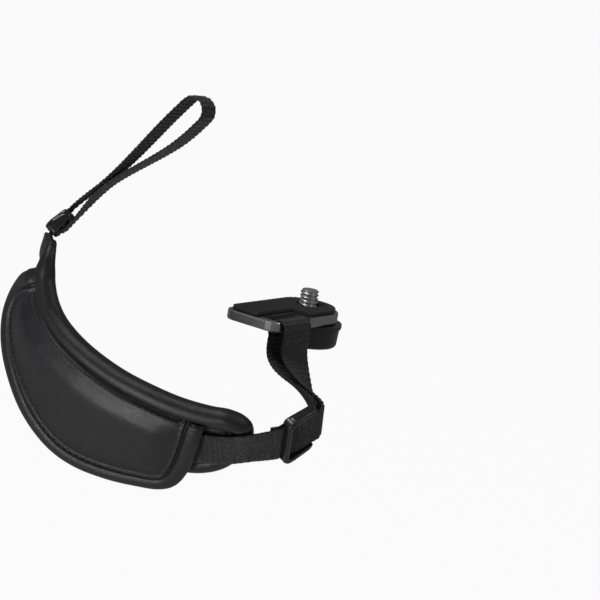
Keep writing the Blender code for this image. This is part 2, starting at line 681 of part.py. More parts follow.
def build_screw(knob_mat, ring_mat):
    """The captive screw, one turned piece from thread to knob, and the ring that keeps it in the plate."""
    ring_low = PLATE_TOP - RING_POCKET_DEPTH + GAP
    ring_high = ring_low + RING_THICK
    bottom = KNOB_TOP - KNOB_HEIGHT
    chamfer = SCREW_CHAMFER
    profile = [(0, SCREW_ABOVE_SEAT), (SCREW_THREAD_R - chamfer, SCREW_ABOVE_SEAT),
               (SCREW_THREAD_R, SCREW_ABOVE_SEAT - chamfer), (SCREW_THREAD_R, ring_high + GAP),
               (SCREW_NECK_R, ring_high + GAP), (SCREW_NECK_R, ring_low - GAP),
               (SCREW_THREAD_R, ring_low - GAP), (SCREW_THREAD_R, KNOB_TOP), (KNOB_FLANGE_R, KNOB_TOP),
               (KNOB_FLANGE_R, KNOB_TOP - KNOB_FLANGE_THICK), (KNOB_TOP_R, KNOB_TOP - KNOB_FLANGE_THICK)]
    for turn in np.linspace(0, 90, KNOB_ROUND_STATIONS):
        angle = math.radians(turn)
        profile.append((KNOB_BOTTOM_R - KNOB_ROUND + KNOB_ROUND * math.cos(angle),
                        bottom + KNOB_ROUND - KNOB_ROUND * math.sin(angle)))
    profile.append((0, bottom))
    screw = turned("tripod_screw", profile, knob_mat)
    coin = box_tool("coin_slot", (-COIN_SLOT_LENGTH / 2, -COIN_SLOT_WIDTH / 2, bottom - CUT_PAST),
                    (COIN_SLOT_LENGTH / 2, COIN_SLOT_WIDTH / 2, bottom + COIN_SLOT_DEPTH))
    coin.parent = screw
    cut_with(screw, coin)
    screw.location = SCREW_PLACE
    ring = turned("retaining_ring", [(SCREW_NECK_R + GAP, ring_high), (RING_OUTER_R, ring_high),
                                     (RING_OUTER_R, ring_low), (SCREW_NECK_R + GAP, ring_low)], ring_mat)
    ring.location = SCREW_PLACE


def turn_round_bar(bar, run, width, reach):
    """Stations of a half turn round a bar, from the outer layer to the inner one."""
    normal = np.cross(run, width)
    path = []
    for turn in np.linspace(0, math.pi, TURN_STATIONS)[1:-1]:
        path.append((bar + normal * reach * math.cos(turn) + run * reach * math.sin(turn), width))
    return path


def build_lower_webbing(web_mat, slider_mat):
    frame = slider_frame(LOWER_SLIDER_PLACE, LOWER_SLIDER_RUN, LOWER_SLIDER_WIDTH)
    build_slider("lower_slider", frame, LOWER_SLIDER_LENGTH, LOWER_WEB_WIDTH, slider_mat)
    route = curve_through(np.array(LOWER_WEB_ROUTE) * MM, 2 * len(LOWER_WEB_ROUTE))
    places, widths = route_points(route, side_directions(route), WEB_MIDDLE)
    bar_centre = (SCREW_PLACE + ALONG_PLATE * SLOT_FROM_SCREW + ACROSS_PLATE * (BAR_INNER + SLOT_BAR / 2)
                  + np.array([0, 0, PLATE_TOP - BAR_RECESS - SLOT_BAR / 2]))
    reach = SLOT_BAR / 2 * math.sqrt(2) + GAP + WEB_THICK / 2
    build_webbing("lower_webbing", places, widths, frame, LOWER_SLIDER_LENGTH, bar_centre,
                  np.array([0.0, 0.0, 1.0]), ALONG_PLATE, PLATE_THICK, reach, WEB_TAIL, LOWER_WEB_WIDTH, web_mat)


def slider_stations(frame, length):
    """Places along a slider, with the heights of the outer and the inner webbing layer."""
    place, run, _, _ = frame
    level = slider_levels()
    half = length / 2
    rows = [(-half - SLIDER_RUN_IN, 0.0, level["return"]), (-half, 0.0, level["return"]),
            (-half + SLIDER_BAR, 0.0, level["return"]),
            (-SLIDER_MIDDLE_BAR / 2, level["over"], level["under"]), (half, level["over"], level["under"]),
            (half + SLIDER_RUN_IN, level["over"], level["under"])]
    return [(place + run * at, high, low) for at, high, low in rows]


def build_upper_webbing(web_mat, slider_mat):
    count = tongue_count(TONGUE_POCKET - TONGUE_WEB_SHORT)
    places, widths = route_points(RIM_CURVE[:count][::-1], RIM_SIDE[:count][::-1], WEB_MIDDLE)
    tip = places[-1]
    inside = places[-2]
    across = widths[-1]
    run = unit(tip - inside)
    outward = unit(np.cross(across, run))
    outward = outward if outward @ (tip - LOOP_CENTRE) > 0 else -outward
    run = run * math.cos(UPPER_SLIDER_TILT) - outward * math.sin(UPPER_SLIDER_TILT)
    frame = slider_frame(tip + run * (UPPER_SLIDER_GAP + UPPER_SLIDER_LENGTH / 2), run, across)
    if frame[3] @ (tip - LOOP_CENTRE) < 0:
        frame = slider_frame(frame[0], run, -across)
    widths = [w if w @ frame[2] > 0 else -w for w in widths]
    build_slider("upper_slider", frame, UPPER_SLIDER_LENGTH, UPPER_WEB_WIDTH, slider_mat)
    run = unit(RING_LOOP_RUN)
    across = unit(RING_LOOP_WIDTH - run * (RING_LOOP_WIDTH @ run))
    if across @ frame[2] < 0:
        across = -across
    reach = (RING_LOOP_GAP + WEB_THICK) / 2
    build_webbing("upper_webbing", places, widths, frame, UPPER_SLIDER_LENGTH, RING_LOOP, run, across,
                  RING_LOOP_STRAIGHT, reach, 0.0, UPPER_WEB_WIDTH, web_mat)


def build():
    for obj in list(bpy.data.objects):
        bpy.data.objects.remove(obj, do_unlink=True)
    leather = material("black_leather", (0.020, 0.019, 0.022), 0.42)
    rim = material("rim_leather", (0.022, 0.021, 0.023), 0.38)
    foam = material("foam", (0.05, 0.05, 0.055), 0.95)
    lining = material("lining", (0.03, 0.03, 0.032), 0.9)
    web = material("webbing", (0.012, 0.012, 0.013), 0.85)
    plastic = material("black_plastic", (0.02, 0.02, 0.021), 0.45)
    plate = material("grey_metal", (0.25, 0.25, 0.26), 0.4, 1.0)
    rubber = material("rubber", (0.03, 0.03, 0.03), 0.8)
    steel = material("steel", (0.5, 0.5, 0.5), 0.3, 1.0)
    knob = material("black_metal", (0.025, 0.025, 0.027), 0.4, 0.3)
    build_pad_sheets(leather, foam, lining)
    build_pad_rim(rim)
    build_flap_sheets(leather, lining)
    build_flap_rim(rim)
    build_lower_webbing(web, plastic)
    build_upper_webbing(web, plastic)
    build_base(plate, rubber)
    build_screw(knob, steel)


build()
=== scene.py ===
# Looks of a padded leather hand strap with woven webbing, sliders, base plate and screw.
# Lengths are in metres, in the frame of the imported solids, unless a line says otherwise.
import json
import math
import bpy
import bmesh
import numpy as np
from mathutils import Matrix, Vector
from mathutils.geometry import delaunay_2d_cdt

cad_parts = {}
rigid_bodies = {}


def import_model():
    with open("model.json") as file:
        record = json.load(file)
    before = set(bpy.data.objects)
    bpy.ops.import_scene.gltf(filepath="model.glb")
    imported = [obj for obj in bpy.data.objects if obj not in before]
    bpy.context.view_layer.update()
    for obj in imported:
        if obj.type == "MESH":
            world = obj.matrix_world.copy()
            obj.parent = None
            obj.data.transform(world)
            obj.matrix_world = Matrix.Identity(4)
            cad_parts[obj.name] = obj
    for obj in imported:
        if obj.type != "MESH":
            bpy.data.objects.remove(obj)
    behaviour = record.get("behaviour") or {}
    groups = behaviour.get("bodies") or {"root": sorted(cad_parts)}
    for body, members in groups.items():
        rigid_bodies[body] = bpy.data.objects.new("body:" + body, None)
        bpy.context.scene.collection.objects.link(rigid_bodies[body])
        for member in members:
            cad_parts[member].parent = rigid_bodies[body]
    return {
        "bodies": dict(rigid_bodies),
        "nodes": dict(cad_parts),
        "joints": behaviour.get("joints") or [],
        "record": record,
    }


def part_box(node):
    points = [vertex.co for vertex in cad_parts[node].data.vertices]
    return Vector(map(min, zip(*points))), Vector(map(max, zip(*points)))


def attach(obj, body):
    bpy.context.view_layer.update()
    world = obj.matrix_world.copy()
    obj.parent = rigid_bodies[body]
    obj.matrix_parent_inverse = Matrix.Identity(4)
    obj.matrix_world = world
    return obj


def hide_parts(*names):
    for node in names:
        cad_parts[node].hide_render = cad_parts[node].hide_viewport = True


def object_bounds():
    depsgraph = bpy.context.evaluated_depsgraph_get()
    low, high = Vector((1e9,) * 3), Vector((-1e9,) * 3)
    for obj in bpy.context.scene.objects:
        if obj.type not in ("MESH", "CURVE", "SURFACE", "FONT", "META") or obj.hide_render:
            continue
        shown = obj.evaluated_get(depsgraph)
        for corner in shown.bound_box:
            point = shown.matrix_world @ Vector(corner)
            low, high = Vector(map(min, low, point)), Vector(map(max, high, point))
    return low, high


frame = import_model()
CAD_BOX = [list(corner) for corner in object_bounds()]
NODES = frame["nodes"]
MM = 0.001
GAP = 0.3 * MM

# The mapping from the flat pattern to the worn loop. All sizes up to the screw's are those of the solids.
LOOP_CENTRE = np.array([-40.2, 12.2, -8.6]) * MM
LOOP_HALF_WIDTH = 55.0 * MM
LOOP_HALF_DEPTH = 30.0 * MM
PATTERN_ZERO = math.radians(112)


def unit(vector):
    return vector / np.linalg.norm(vector)


LOOP_AXIS = unit(np.array([-0.353, -0.577, 0.737]))
ACROSS_HINT = np.array([0.409, -0.803, -0.433])
ACROSS = unit(ACROSS_HINT - LOOP_AXIS * (ACROSS_HINT @ LOOP_AXIS))
OUTWARD = np.cross(ACROSS, LOOP_AXIS)

# Depths of the layers below the flap's outer face.
WEB_THICK = 1.0 * MM
WEB_MIDDLE = -2.6 * MM
COVER_TOP = -3.4 * MM
PAD_BOTTOM = -7.4 * MM
FLAP_BOTTOM = -1.8 * MM

PAD_KNUCKLE_EDGE = [(-48.2, -0.6), (-46.2, -1.8), (-43.6, -2.3), (-40.5, -1.9), (-37.0, -1.2), (-33.0, -2.2),
                    (-28.5, -4.8), (-21.5, -7.6), (-14, -8.8), (-5, -8.4), (4, -7.2), (14, -5.4), (24, -3.0),
                    (35, -0.4), (45, 2.6), (51, 4.6), (56.5, 3.4)]
PAD_WRIST_EDGE = [(60.2, -3.0), (61.0, -11.0), (59.0, -19.0), (54.0, -24.5), (46.0, -28.5), (36.0, -32.5),
                  (24.0, -37.5), (12.0, -40.5), (0.0, -39.5), (-12.0, -34.5), (-22.0, -27.5), (-29.5, -20.5),
                  (-34.8, -14.6), (-36.6, -10.4)]
FLAP_EDGE = [(-31.4, -1.2), (-33.6, -7.6), (-36.2, -14.0), (-36.6, -22.0), (-33.8, -29.0), (-27.0, -35.2),
             (-17.2, -41.2), (-6.0, -46.8), (6.0, -49.6), (16.0, -48.7), (27.0, -44.4), (36.3, -39.6),
             (43.0, -35.8), (46.0, -31.0), (46.3, -22.0), (44.4, -10.0), (43.0, -3.0), (42.5, 0.8)]
PAD_RIM_HALF = 3.2 * MM
PAD_RIM_PROUD = -0.8 * MM
FLAP_RIM_HALF = 2.7 * MM
FLAP_RIM_THICK = 2.8 * MM
FLAP_RIM_RISE = 1.0 * MM

# Webbing, sliders and the bars that the webbing turns round.
LOWER_WEB_WIDTH = 15.0 * MM
UPPER_WEB_WIDTH = 8.0 * MM
LOWER_WEB_ROUTE = [(8, -27), (20, -22.5), (32, -18), (42, -14.8), (50, -12), (57, -8.8), (63, -5)]
WEB_TAIL = 5.0 * MM
LOWER_SLIDER_LENGTH = 13.0 * MM
UPPER_SLIDER_LENGTH = 9.0 * MM
SLIDER_WALL = 2.0 * MM
SLIDER_SIDE_PLAY = 0.7 * MM
SLIDER_BAR = 2.0 * MM
SLIDER_MIDDLE_BAR = 1.6 * MM
SLIDER_FRONT_HEIGHT = 1.9 * MM
SLIDER_TAPER = 0.7 * MM
SLIDER_KNEE_SHARE = 0.35
SLIDER_BAR_HEIGHT = 1.5 * MM
SLIDER_WEB_RISE = 1.0 * MM
SLIDER_RUN_IN = 1.5 * MM
LOWER_SLIDER_PLACE = np.array([-23.5, -27.2, -32.9]) * MM
LOWER_SLIDER_RUN = np.array([0.859, -0.266, 0.437])
LOWER_SLIDER_WIDTH = np.array([-0.504, -0.307, 0.81])
UPPER_SLIDER_GAP = 1.3 * MM
UPPER_SLIDER_TILT = math.radians(7)
RING_LOOP = np.array([-50.0, 13.0, 64.0]) * MM
RING_LOOP_RUN = np.array([0.1, -0.62, 0.78])
RING_LOOP_WIDTH = np.array([1.0, 0.0, 0.0])
RING_LOOP_GAP = 7.5 * MM
RING_LOOP_STRAIGHT = 2.0 * MM
PLATE_BAR = np.array([-10.0, -9.0, -4.1]) * MM
PLATE_BAR_REACH = 1.5 * MM * math.sqrt(2) + GAP + WEB_THICK / 2
PLATE_THICK = 3.4 * MM
TONGUE_STRAIGHT = 4.0 * MM
TONGUE_TAPER = 14.0 * MM
TONGUE_BELLY = 1.6 * MM
TONGUE_POCKET = 6.5 * MM
TONGUE_WEB_SHORT = 1.6 * MM
POCKET_PLAY = 0.45 * MM
TONGUE_WALL = 0.8 * MM
TONGUE_HALF_WIDTH = UPPER_WEB_WIDTH / 2 + POCKET_PLAY + TONGUE_WALL
TONGUE_HALF_THICK = WEB_THICK / 2 + POCKET_PLAY + TONGUE_WALL

# Screw and its knob.
SCREW_X = 12.0 * MM
SCREW_TOP = 5.0 * MM
THREAD_R = 3.1 * MM
THREAD_PITCH = 1.27 * MM
THREAD_DEPTH = 0.55 * MM
NECK_TOP = -1.4 * MM
KNOB_TOP = -4.9 * MM


def smooth_step(x):
    x = np.clip(x, 0.0, 1.0)
    return x * x * (3 - 2 * x)


def running_length(points):
    """Length of a line of points up to each of them."""
    return np.concatenate([[0.0], np.cumsum(np.linalg.norm(np.diff(points, axis=0), axis=1))])


def arc_tables():
    angle = np.linspace(math.radians(-80), math.radians(280), 2881)
    xy = np.stack([LOOP_HALF_WIDTH * np.cos(angle), LOOP_HALF_DEPTH * np.sin(angle)], 1)
    run = running_length(xy)
    return np.interp(PATTERN_ZERO, angle, run) - run, angle


ARC_LENGTH, ARC_ANGLE = arc_tables()


def wrap(pattern, depth):
    """Points of the flat pattern, laid on the loop at heights over the flap's face."""
    pattern = np.atleast_2d(pattern)
    depth = np.broadcast_to(depth, len(pattern))
    angle = np.interp(-pattern[:, 0], -ARC_LENGTH, ARC_ANGLE)
    nx = LOOP_HALF_DEPTH * np.cos(angle)
    ny = LOOP_HALF_WIDTH * np.sin(angle)
    size = np.hypot(nx, ny)
    x = LOOP_HALF_WIDTH * np.cos(angle) + depth * nx / size
    y = LOOP_HALF_DEPTH * np.sin(angle) + depth * ny / size
    return LOOP_CENTRE + x[:, None] * ACROSS + y[:, None] * OUTWARD + pattern[:, 1:2] * LOOP_AXIS


def curve_through(points, step_count):
    """Evenly spaced points on a smooth curve through the given points."""
    pts = np.array(points, float)
    pad = np.vstack([2 * pts[0] - pts[1], pts, 2 * pts[-1] - pts[-2]])
    fine = []
    for i in range(len(pts) - 1):
        a, b, c, d = pad[i:i + 4]
        for u in np.linspace(0, 1, 24, endpoint=False):
            fine.append(0.5 * (2 * b + (c - a) * u + (2 * a - 5 * b + 4 * c - d) * u ** 2
                               + (3 * b - a - 3 * c + d) * u ** 3))
    fine.append(pts[-1])
    fine = np.array(fine)
    run = running_length(fine)
    at = np.linspace(0, run[-1], step_count + 1)
    return np.stack([np.interp(at, run, fine[:, k]) for k in range(pts.shape[1])], 1)


def side_directions(points):
    run = np.gradient(points, axis=0)
    run /= np.linalg.norm(run, axis=1)[:, None]
    return np.stack([-run[:, 1], run[:, 0]], 1)


def signed_distance(points, line):
    """Distance from a pattern line, positive on its left."""
    best = np.full(len(points), 1e9)
    for a, b in zip(line[:-1], line[1:]):
        ab = b - a
        share = np.clip(((points - a) @ ab) / (ab @ ab), 0, 1)
        off = points - a - share[:, None] * ab
        size = np.hypot(off[:, 0], off[:, 1])
        side = np.where(ab[0] * off[:, 1] - ab[1] * off[:, 0] >= 0, 1.0, -1.0)
        closer = size < np.abs(best) - 1e-9
        best[closer] = (size * side)[closer]
    return best


RIM_CURVE = curve_through(np.array(PAD_KNUCKLE_EDGE + PAD_WRIST_EDGE) * MM, 336)
RIM_SIDE = side_directions(RIM_CURVE)
RIM_RIGHT = int(np.argmax(RIM_CURVE[:, 0]))
KNUCKLE = RIM_CURVE[:RIM_RIGHT]
FLAP_LINE = curve_through(np.array(FLAP_EDGE) * MM, 300)
FLAP_SIDE = side_directions(FLAP_LINE)


def knuckle_line(along):
    return np.interp(along, KNUCKLE[:, 0], KNUCKLE[:, 1])


# Materials. A texture's scale counts its features along a metre.

LEATHER_CELLS = 2100
LEATHER_PORES = 2600
LEATHER_CREASES = 260
DYE_PATCHES = 60
NAP_FIBRES = 3200
NAP_PATCHES = 140
YARN_FUZZ = 5200
YARN_GLINT_SPECKS = 1500
YARN_TWIST_ALONG = 9.0
YARN_TWIST_ACROSS = 14.0
MOULD_GRAIN = 2400
MOULD_MARKS = 260
METAL_WEAR = 300
BRUSH_STRETCH = (40, 40, 900)


def nodes_of(name, base, roughness, metallic=0.0, specular=0.5):
    mat = bpy.data.materials.new(name)
    mat.use_nodes = True
    tree = mat.node_tree
    shader = tree.nodes["Principled BSDF"]
    shader.inputs["Base Color"].default_value = (*base, 1.0)
    shader.inputs["Roughness"].default_value = roughness
    shader.inputs["Metallic"].default_value = metallic
    shader.inputs["Specular IOR Level"].default_value = specular
    return mat, tree, shader


def place(tree):
    return tree.nodes.new("ShaderNodeTexCoord").outputs["Object"]


def noise(tree, scale, detail=3.0, rough=0.55, vector=None):
    node = tree.nodes.new("ShaderNodeTexNoise")
    node.inputs["Scale"].default_value = scale
    node.inputs["Detail"].default_value = detail
    node.inputs["Roughness"].default_value = rough
    tree.links.new(vector or place(tree), node.inputs["Vector"])
    return node.outputs["Fac"]


def cell_edges(tree, scale):
    node = tree.nodes.new("ShaderNodeTexVoronoi")
    node.feature = "DISTANCE_TO_EDGE"
    node.inputs["Scale"].default_value = scale
    tree.links.new(place(tree), node.inputs["Vector"])
    return node.outputs["Distance"]


def spread(tree, value, low_in, high_in, low, high):
    node = tree.nodes.new("ShaderNodeMapRange")
    for name, number in (("From Min", low_in), ("From Max", high_in), ("To Min", low), ("To Max", high)):
        node.inputs[name].default_value = number
    tree.links.new(value, node.inputs["Value"])
    return node.outputs["Result"]


def maths(tree, operation, a, b=None):
    node = tree.nodes.new("ShaderNodeMath")
    node.operation = operation
    for socket, value in zip(node.inputs, (a, b)):
        if value is None:
            continue
        if isinstance(value, (int, float)):
            socket.default_value = value
        else:
            tree.links.new(value, socket)
    return node.outputs[0]


def two_colours(tree, share, first, second):
    node = tree.nodes.new("ShaderNodeMix")
    node.data_type = "RGBA"
    node.inputs["A"].default_value = (*first, 1.0)
    node.inputs["B"].default_value = (*second, 1.0)
    tree.links.new(share, node.inputs["Factor"])
    return node.outputs["Result"]


def heights(tree, *weighted):
    """Sum of texture values, each times its weight."""
    total = None
    for value, weight in weighted:
        part = value if weight == 1 else maths(tree, "MULTIPLY", value, weight)
        total = part if total is None else maths(tree, "ADD", total, part)
    return total


def bump(tree, shader, height, distance):
    node = tree.nodes.new("ShaderNodeBump")
    node.inputs["Distance"].default_value = distance
    tree.links.new(height, node.inputs["Height"])
    tree.links.new(node.outputs["Normal"], shader.inputs["Normal"])


def mottle(tree, shader, share, base, darker, lighter):
    """The base colour wanders between a darker and a lighter multiple of itself."""
    colour = two_colours(tree, share, tuple(darker * c for c in base), tuple(lighter * c for c in base))
    tree.links.new(colour, shader.inputs["Base Color"])


def vary_roughness(tree, shader, value, low_in, high_in, low, high):
    tree.links.new(spread(tree, value, low_in, high_in, low, high), shader.inputs["Roughness"])


def leather(name, base, roughness, grain=0.06 * MM):
    """Satin leather: fine pebbled cells, pores, faint creases and a slightly uneven dye."""
    mat, tree, shader = nodes_of(name, base, roughness, specular=0.4)
    cells = spread(tree, cell_edges(tree, LEATHER_CELLS), 0.0, 0.25, 0.0, 1.0)
    pores = noise(tree, LEATHER_PORES, 2.0)
    creases = noise(tree, LEATHER_CREASES, 4.0, 0.65)
    bump(tree, shader, heights(tree, (cells, 0.45), (pores, 0.3), (creases, 0.9)), grain)
    mottle(tree, shader, noise(tree, DYE_PATCHES, 3.0), base, 0.75, 1.45)
    vary_roughness(tree, shader, creases, 0.3, 0.7, roughness - 0.05, roughness + 0.07)
    return mat


def microfibre(name, base):
    """Soft lining: matt, with a fine nap and a sheen."""
    mat, tree, shader = nodes_of(name, base, 0.92, specular=0.2)
    shader.inputs["Sheen Weight"].default_value = 0.35
    shader.inputs["Sheen Roughness"].default_value = 0.5
    nap = noise(tree, NAP_FIBRES, 3.0, 0.7)
    patches = noise(tree, NAP_PATCHES, 3.0)
    bump(tree, shader, heights(tree, (nap, 1), (patches, 1.5)), 0.08 * MM)
    mottle(tree, shader, patches, base, 0.7, 1.5)
    return mat


def woven(name, base, light):
    """Webbing yarn, with painted glints: specks of a much lighter colour on the warp crests. The UV map
    counts millimetres along and across the strip.
    """
    mat, tree, shader = nodes_of(name, base, 0.62, specular=0.35)
    shader.inputs["Sheen Weight"].default_value = 0.12
    uv = tree.nodes.new("ShaderNodeUVMap")
    uv.uv_map = "strip"
    split = tree.nodes.new("ShaderNodeSeparateXYZ")
    tree.links.new(uv.outputs["UV"], split.inputs["Vector"])
    along, across = split.outputs["X"], split.outputs["Y"]
    warp = maths(tree, "ABSOLUTE", maths(tree, "SINE", maths(tree, "MULTIPLY", across, math.pi / WARP_PITCH)))
    twist = heights(tree, (along, YARN_TWIST_ALONG), (across, YARN_TWIST_ACROSS))
    fibres = maths(tree, "ABSOLUTE", maths(tree, "SINE", twist))
    fuzz = noise(tree, YARN_FUZZ, 2.0, 0.6)
    bump(tree, shader, heights(tree, (warp, 0.8), (fibres, 0.35), (fuzz, 0.5)), 0.16 * MM)
    # Painted highlight: the lighter colour in specks on the warp crests stands in for glints of light on the
    # yarn.
    glint_specks = spread(tree, noise(tree, YARN_GLINT_SPECKS, 2.0, 0.7), 0.54, 0.68, 0.0, 1.0)
    painted_glints = maths(tree, "MULTIPLY", glint_specks, warp)
    tree.links.new(two_colours(tree, painted_glints, base, light), shader.inputs["Base Color"])
    return mat


def moulded(name, base, roughness):
    """Moulded plastic or rubber with a faint spark-eroded grain and handling marks."""
    mat, tree, shader = nodes_of(name, base, roughness)
    grain = noise(tree, MOULD_GRAIN, 2.0)
    marks = noise(tree, MOULD_MARKS, 5.0, 0.7)
    bump(tree, shader, heights(tree, (grain, 1), (marks, 0.6)), 0.02 * MM)
    vary_roughness(tree, shader, marks, 0.35, 0.65, roughness - 0.06, roughness + 0.1)
    mottle(tree, shader, marks, base, 0.8, 1.3)
    return mat


def metal(name, base, roughness, metallic):
    """Metal with fine directional brushing, or a satin paint over it."""
    mat, tree, shader = nodes_of(name, base, roughness, metallic)
    stretch = tree.nodes.new("ShaderNodeMapping")
    stretch.inputs["Scale"].default_value = BRUSH_STRETCH
    tree.links.new(place(tree), stretch.inputs["Vector"])
    lines = noise(tree, 4.0, 4.0, 0.7, stretch.outputs["Vector"])
    bump(tree, shader, lines, 0.008 * MM)
    vary_roughness(tree, shader, lines, 0.3, 0.7, roughness - 0.07, roughness + 0.12)
    mottle(tree, shader, noise(tree, METAL_WEAR, 4.0, 0.6), base, 0.85, 1.15)
    return mat


# The webbing's rib and warp pitches count millimetres, as its UV map does.
RIB_PITCH = 1.6
RIB_HEIGHT = 0.32 * MM
WARP_PITCH = 0.62
TWIST_SMOOTH = 5.0 * MM

LEATHER = leather("black_leather", (0.0085, 0.0082, 0.0098), 0.40)
ROLL_LEATHER = leather("roll_leather", (0.0088, 0.0085, 0.0094), 0.36, 0.075 * MM)
LINING = microfibre("lining", (0.020, 0.020, 0.021))
# The second colour is the painted highlight colour of the glints on the yarn crests.
WEBBING = woven("webbing", (0.0040, 0.0040, 0.0043), (0.13, 0.127, 0.13))
THREAD = leather("stitch_thread", (0.045, 0.044, 0.046), 0.42, 0.03 * MM)
PLASTIC = moulded("black_plastic", (0.0095, 0.0092, 0.0095), 0.27)
PLATE_METAL = metal("grey_metal", (0.34, 0.34, 0.35), 0.36, 1.0)
KNOB_METAL = metal("black_metal", (0.020, 0.020, 0.022), 0.32, 0.2)
STEEL = metal("steel", (0.52, 0.52, 0.53), 0.28, 1.0)
RUBBER = moulded("seat_rubber", (0.022, 0.022, 0.022), 0.75)


# Mesh helpers.

def add_mesh(name, verts, faces, mats, sharp=None):
    mesh = bpy.data.meshes.new(name)
    mesh.from_pydata([tuple(float(c) for c in v) for v in verts], [], faces)
    mesh.validate()
    bm = bmesh.new()
    bm.from_mesh(mesh)
    bmesh.ops.recalc_face_normals(bm, faces=bm.faces)
    bm.to_mesh(mesh)
    bm.free()
    obj = bpy.data.objects.new(name, mesh)
    bpy.context.collection.objects.link(obj)
    for mat in mats:
        mesh.materials.append(mat)
    mesh.shade_smooth()
    if sharp:
        mesh.set_sharp_from_angle(angle=math.radians(sharp))
    return obj


def tube_faces(count, sides, capped=True):
    faces = []
    for i in range(count - 1):
        for k in range(sides):
            m = (k + 1) % sides
            faces.append((i * sides + k, i * sides + m, (i + 1) * sides + m, (i + 1) * sides + k))
    if capped:
        faces.append(tuple(range(sides)))
        faces.append(tuple((count - 1) * sides + k for k in range(sides)))
    return faces


def settle(obj, slot, *replaced):
    """A finished piece rides on the fixed body and stands for its solids, which it hides. Its slot is not
    used.
    """
    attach(obj, "root")
    if replaced:
        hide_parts(*replaced)
    return obj


def filled_region(outline, inner_points):
    """Triangles over a closed pattern outline with given points inside it."""
    count = len(outline)
    points = np.vstack([outline, inner_points])
    edges = [(k, (k + 1) % count) for k in range(count)]
    result = delaunay_2d_cdt([Vector(p / MM) for p in points], edges, [], 1, 1e-5)
    return np.array([tuple(v) for v in result[0]]) * MM, [tuple(f) for f in result[2]]


def apart(points, others, least):
    """Those points that lie at least a distance from all the others."""
    keep = np.ones(len(points), bool)
    for chunk in range(0, len(points), 400):
        part = points[chunk:chunk + 400]
        gap = np.linalg.norm(part[:, None] - others[None], axis=2).min(axis=1)
        keep[chunk:chunk + 400] = gap > least
    return points[keep]


def thinned(points, least):
    """Drops points that crowd an earlier one."""
    kept = {}
    beside = [(i, j) for i in (-1, 0, 1) for j in (-1, 0, 1)]
    for p in points:
        cell = (int(p[0] // least), int(p[1] // least))
        around = [(cell[0] + i, cell[1] + j) for i, j in beside]
        near = [kept[c] for c in around if c in kept]
        if all(np.hypot(*(p - q)) >= least for q in near):
            kept[cell] = p
    return np.array(list(kept.values()))


def staggered_grid(x_range, y_range, step):
    """Pattern points in rows, every other row half a step along. All in millimetres."""
    x = np.arange(*x_range, step) * MM
    y = np.arange(*y_range, step) * MM
    return np.array([(a + (j % 2) * step / 2 * MM, b) for j, b in enumerate(y) for a in x])


def sheet_piece(name, pattern, faces, top, bottom, joined, mats, under):
    """A closed skin between two heights over a pattern. Points marked joined share one vertex."""
    count = len(pattern)
    upper = wrap(pattern, top)
    lower = wrap(pattern, bottom)
    index = np.arange(count)
    below = np.where(joined, index, 0)
    free = np.flatnonzero(~joined)
    below[free] = count + np.arange(len(free))
    verts = np.vstack([upper, lower[free]])
    sides = {}
    for f in faces:
        for a, b in zip(f, f[1:] + f[:1]):
            sides[(a, b)] = f
    all_faces = list(faces)
    all_faces += [tuple(int(below[k]) for k in reversed(f)) for f in faces]
    walls = []
    for (a, b) in sides:
        if (b, a) in sides or (joined[a] and joined[b]):
            continue
        wall = tuple(dict.fromkeys((b, a, int(below[a]), int(below[b]))))
        if len(wall) > 2:
            walls.append(wall)
    obj = add_mesh(name, verts, all_faces + walls, mats)
    polys = obj.data.polygons
    for k in range(len(faces), 2 * len(faces)):
        if k < len(polys) and under[list(faces[k - len(faces)])].all():
            polys[k].material_index = 1
    return obj


def ripple(pattern, size):
    """Low, slow unevenness of a hand-made leather surface."""
    x = pattern[:, 0] / MM
    y = pattern[:, 1] / MM
    return size * (np.sin(0.31 * x + 0.17 * y + 0.6) * np.sin(0.22 * y - 0.11 * x + 1.9)
                   + 0.5 * np.sin(0.53 * x - 0.37 * y + 2.2) * np.sin(0.41 * y + 0.23 * x))


def table(x, pairs):
    """A smooth profile through (offset, height) pairs in millimetres."""
    at = np.array([p[0] for p in pairs])
    high = np.array([p[1] for p in pairs])
    x = x / MM
    k = np.clip(np.searchsorted(at, x) - 1, 0, len(at) - 2)
    share = smooth_step((x - at[k]) / (at[k + 1] - at[k]))
    return (high[k] + (high[k + 1] - high[k]) * share) * MM


# The flap. Profiles hold (offset, height) pairs and ring lists hold offsets, all in millimetres.

SEAM_EDGE = 2.6 * MM
ROLL_MIDDLE = FLAP_RIM_RISE - FLAP_RIM_THICK / 2
ROLL_TO_PANEL = 2.15 * MM
ROLL_BLEND = 0.5 * MM
PANEL_FROM = 4.0 * MM
PANEL_BLEND = 9.0 * MM
FLAP_GROOVE = [(2.2, 0.0), (3.05, -0.62), (3.75, 0.26), (4.6, -0.02), (7.0, 0.22), (30.0, 0.3)]
CORNER_DIP = [(2.0, -2.1), (3.0, -1.6), (6.5, 0.0), (60.0, 0.0)]
SEAM_PROFILE = [(2.0, -2.3), (2.75, -2.1), (3.05, -1.75), (3.55, -0.62), (4.2, -0.86), (6.5, -0.4),
                (9.5, 0.0), (60.0, 0.0)]
CORNER_CLIMB = 2.2 * MM
CORNER_CLIMB_FROM = -27.5 * MM
CORNER_CLIMB_LENGTH = 4.5 * MM
CORNER_DIP_FROM = -26.0 * MM
CORNER_DIP_LENGTH = 4.0 * MM
RIDGE_FOOT = 4.0 * MM
RIDGE_RISE = 0.26
RIDGE_TOP = 1.65 * MM
RIDGE_AT = 10.6 * MM
RIDGE_FALL = 0.05
RIDGE_ROUND = 0.3 * MM
FLAP_RIPPLE = 0.07 * MM
FLAP_EDGE_THICK = 0.25 * MM
FLAP_ROLL_RINGS = -FLAP_RIM_HALF * np.cos(np.linspace(0.12, 1.5, 9))
FLAP_RINGS = [0.3, 0.8, 1.2, 1.55, 1.85, 2.1, 2.3, 2.5, 2.7, 2.9, 3.1, 3.3, 3.5, 3.7, 3.9, 4.15, 4.5, 5.0,
              5.6]
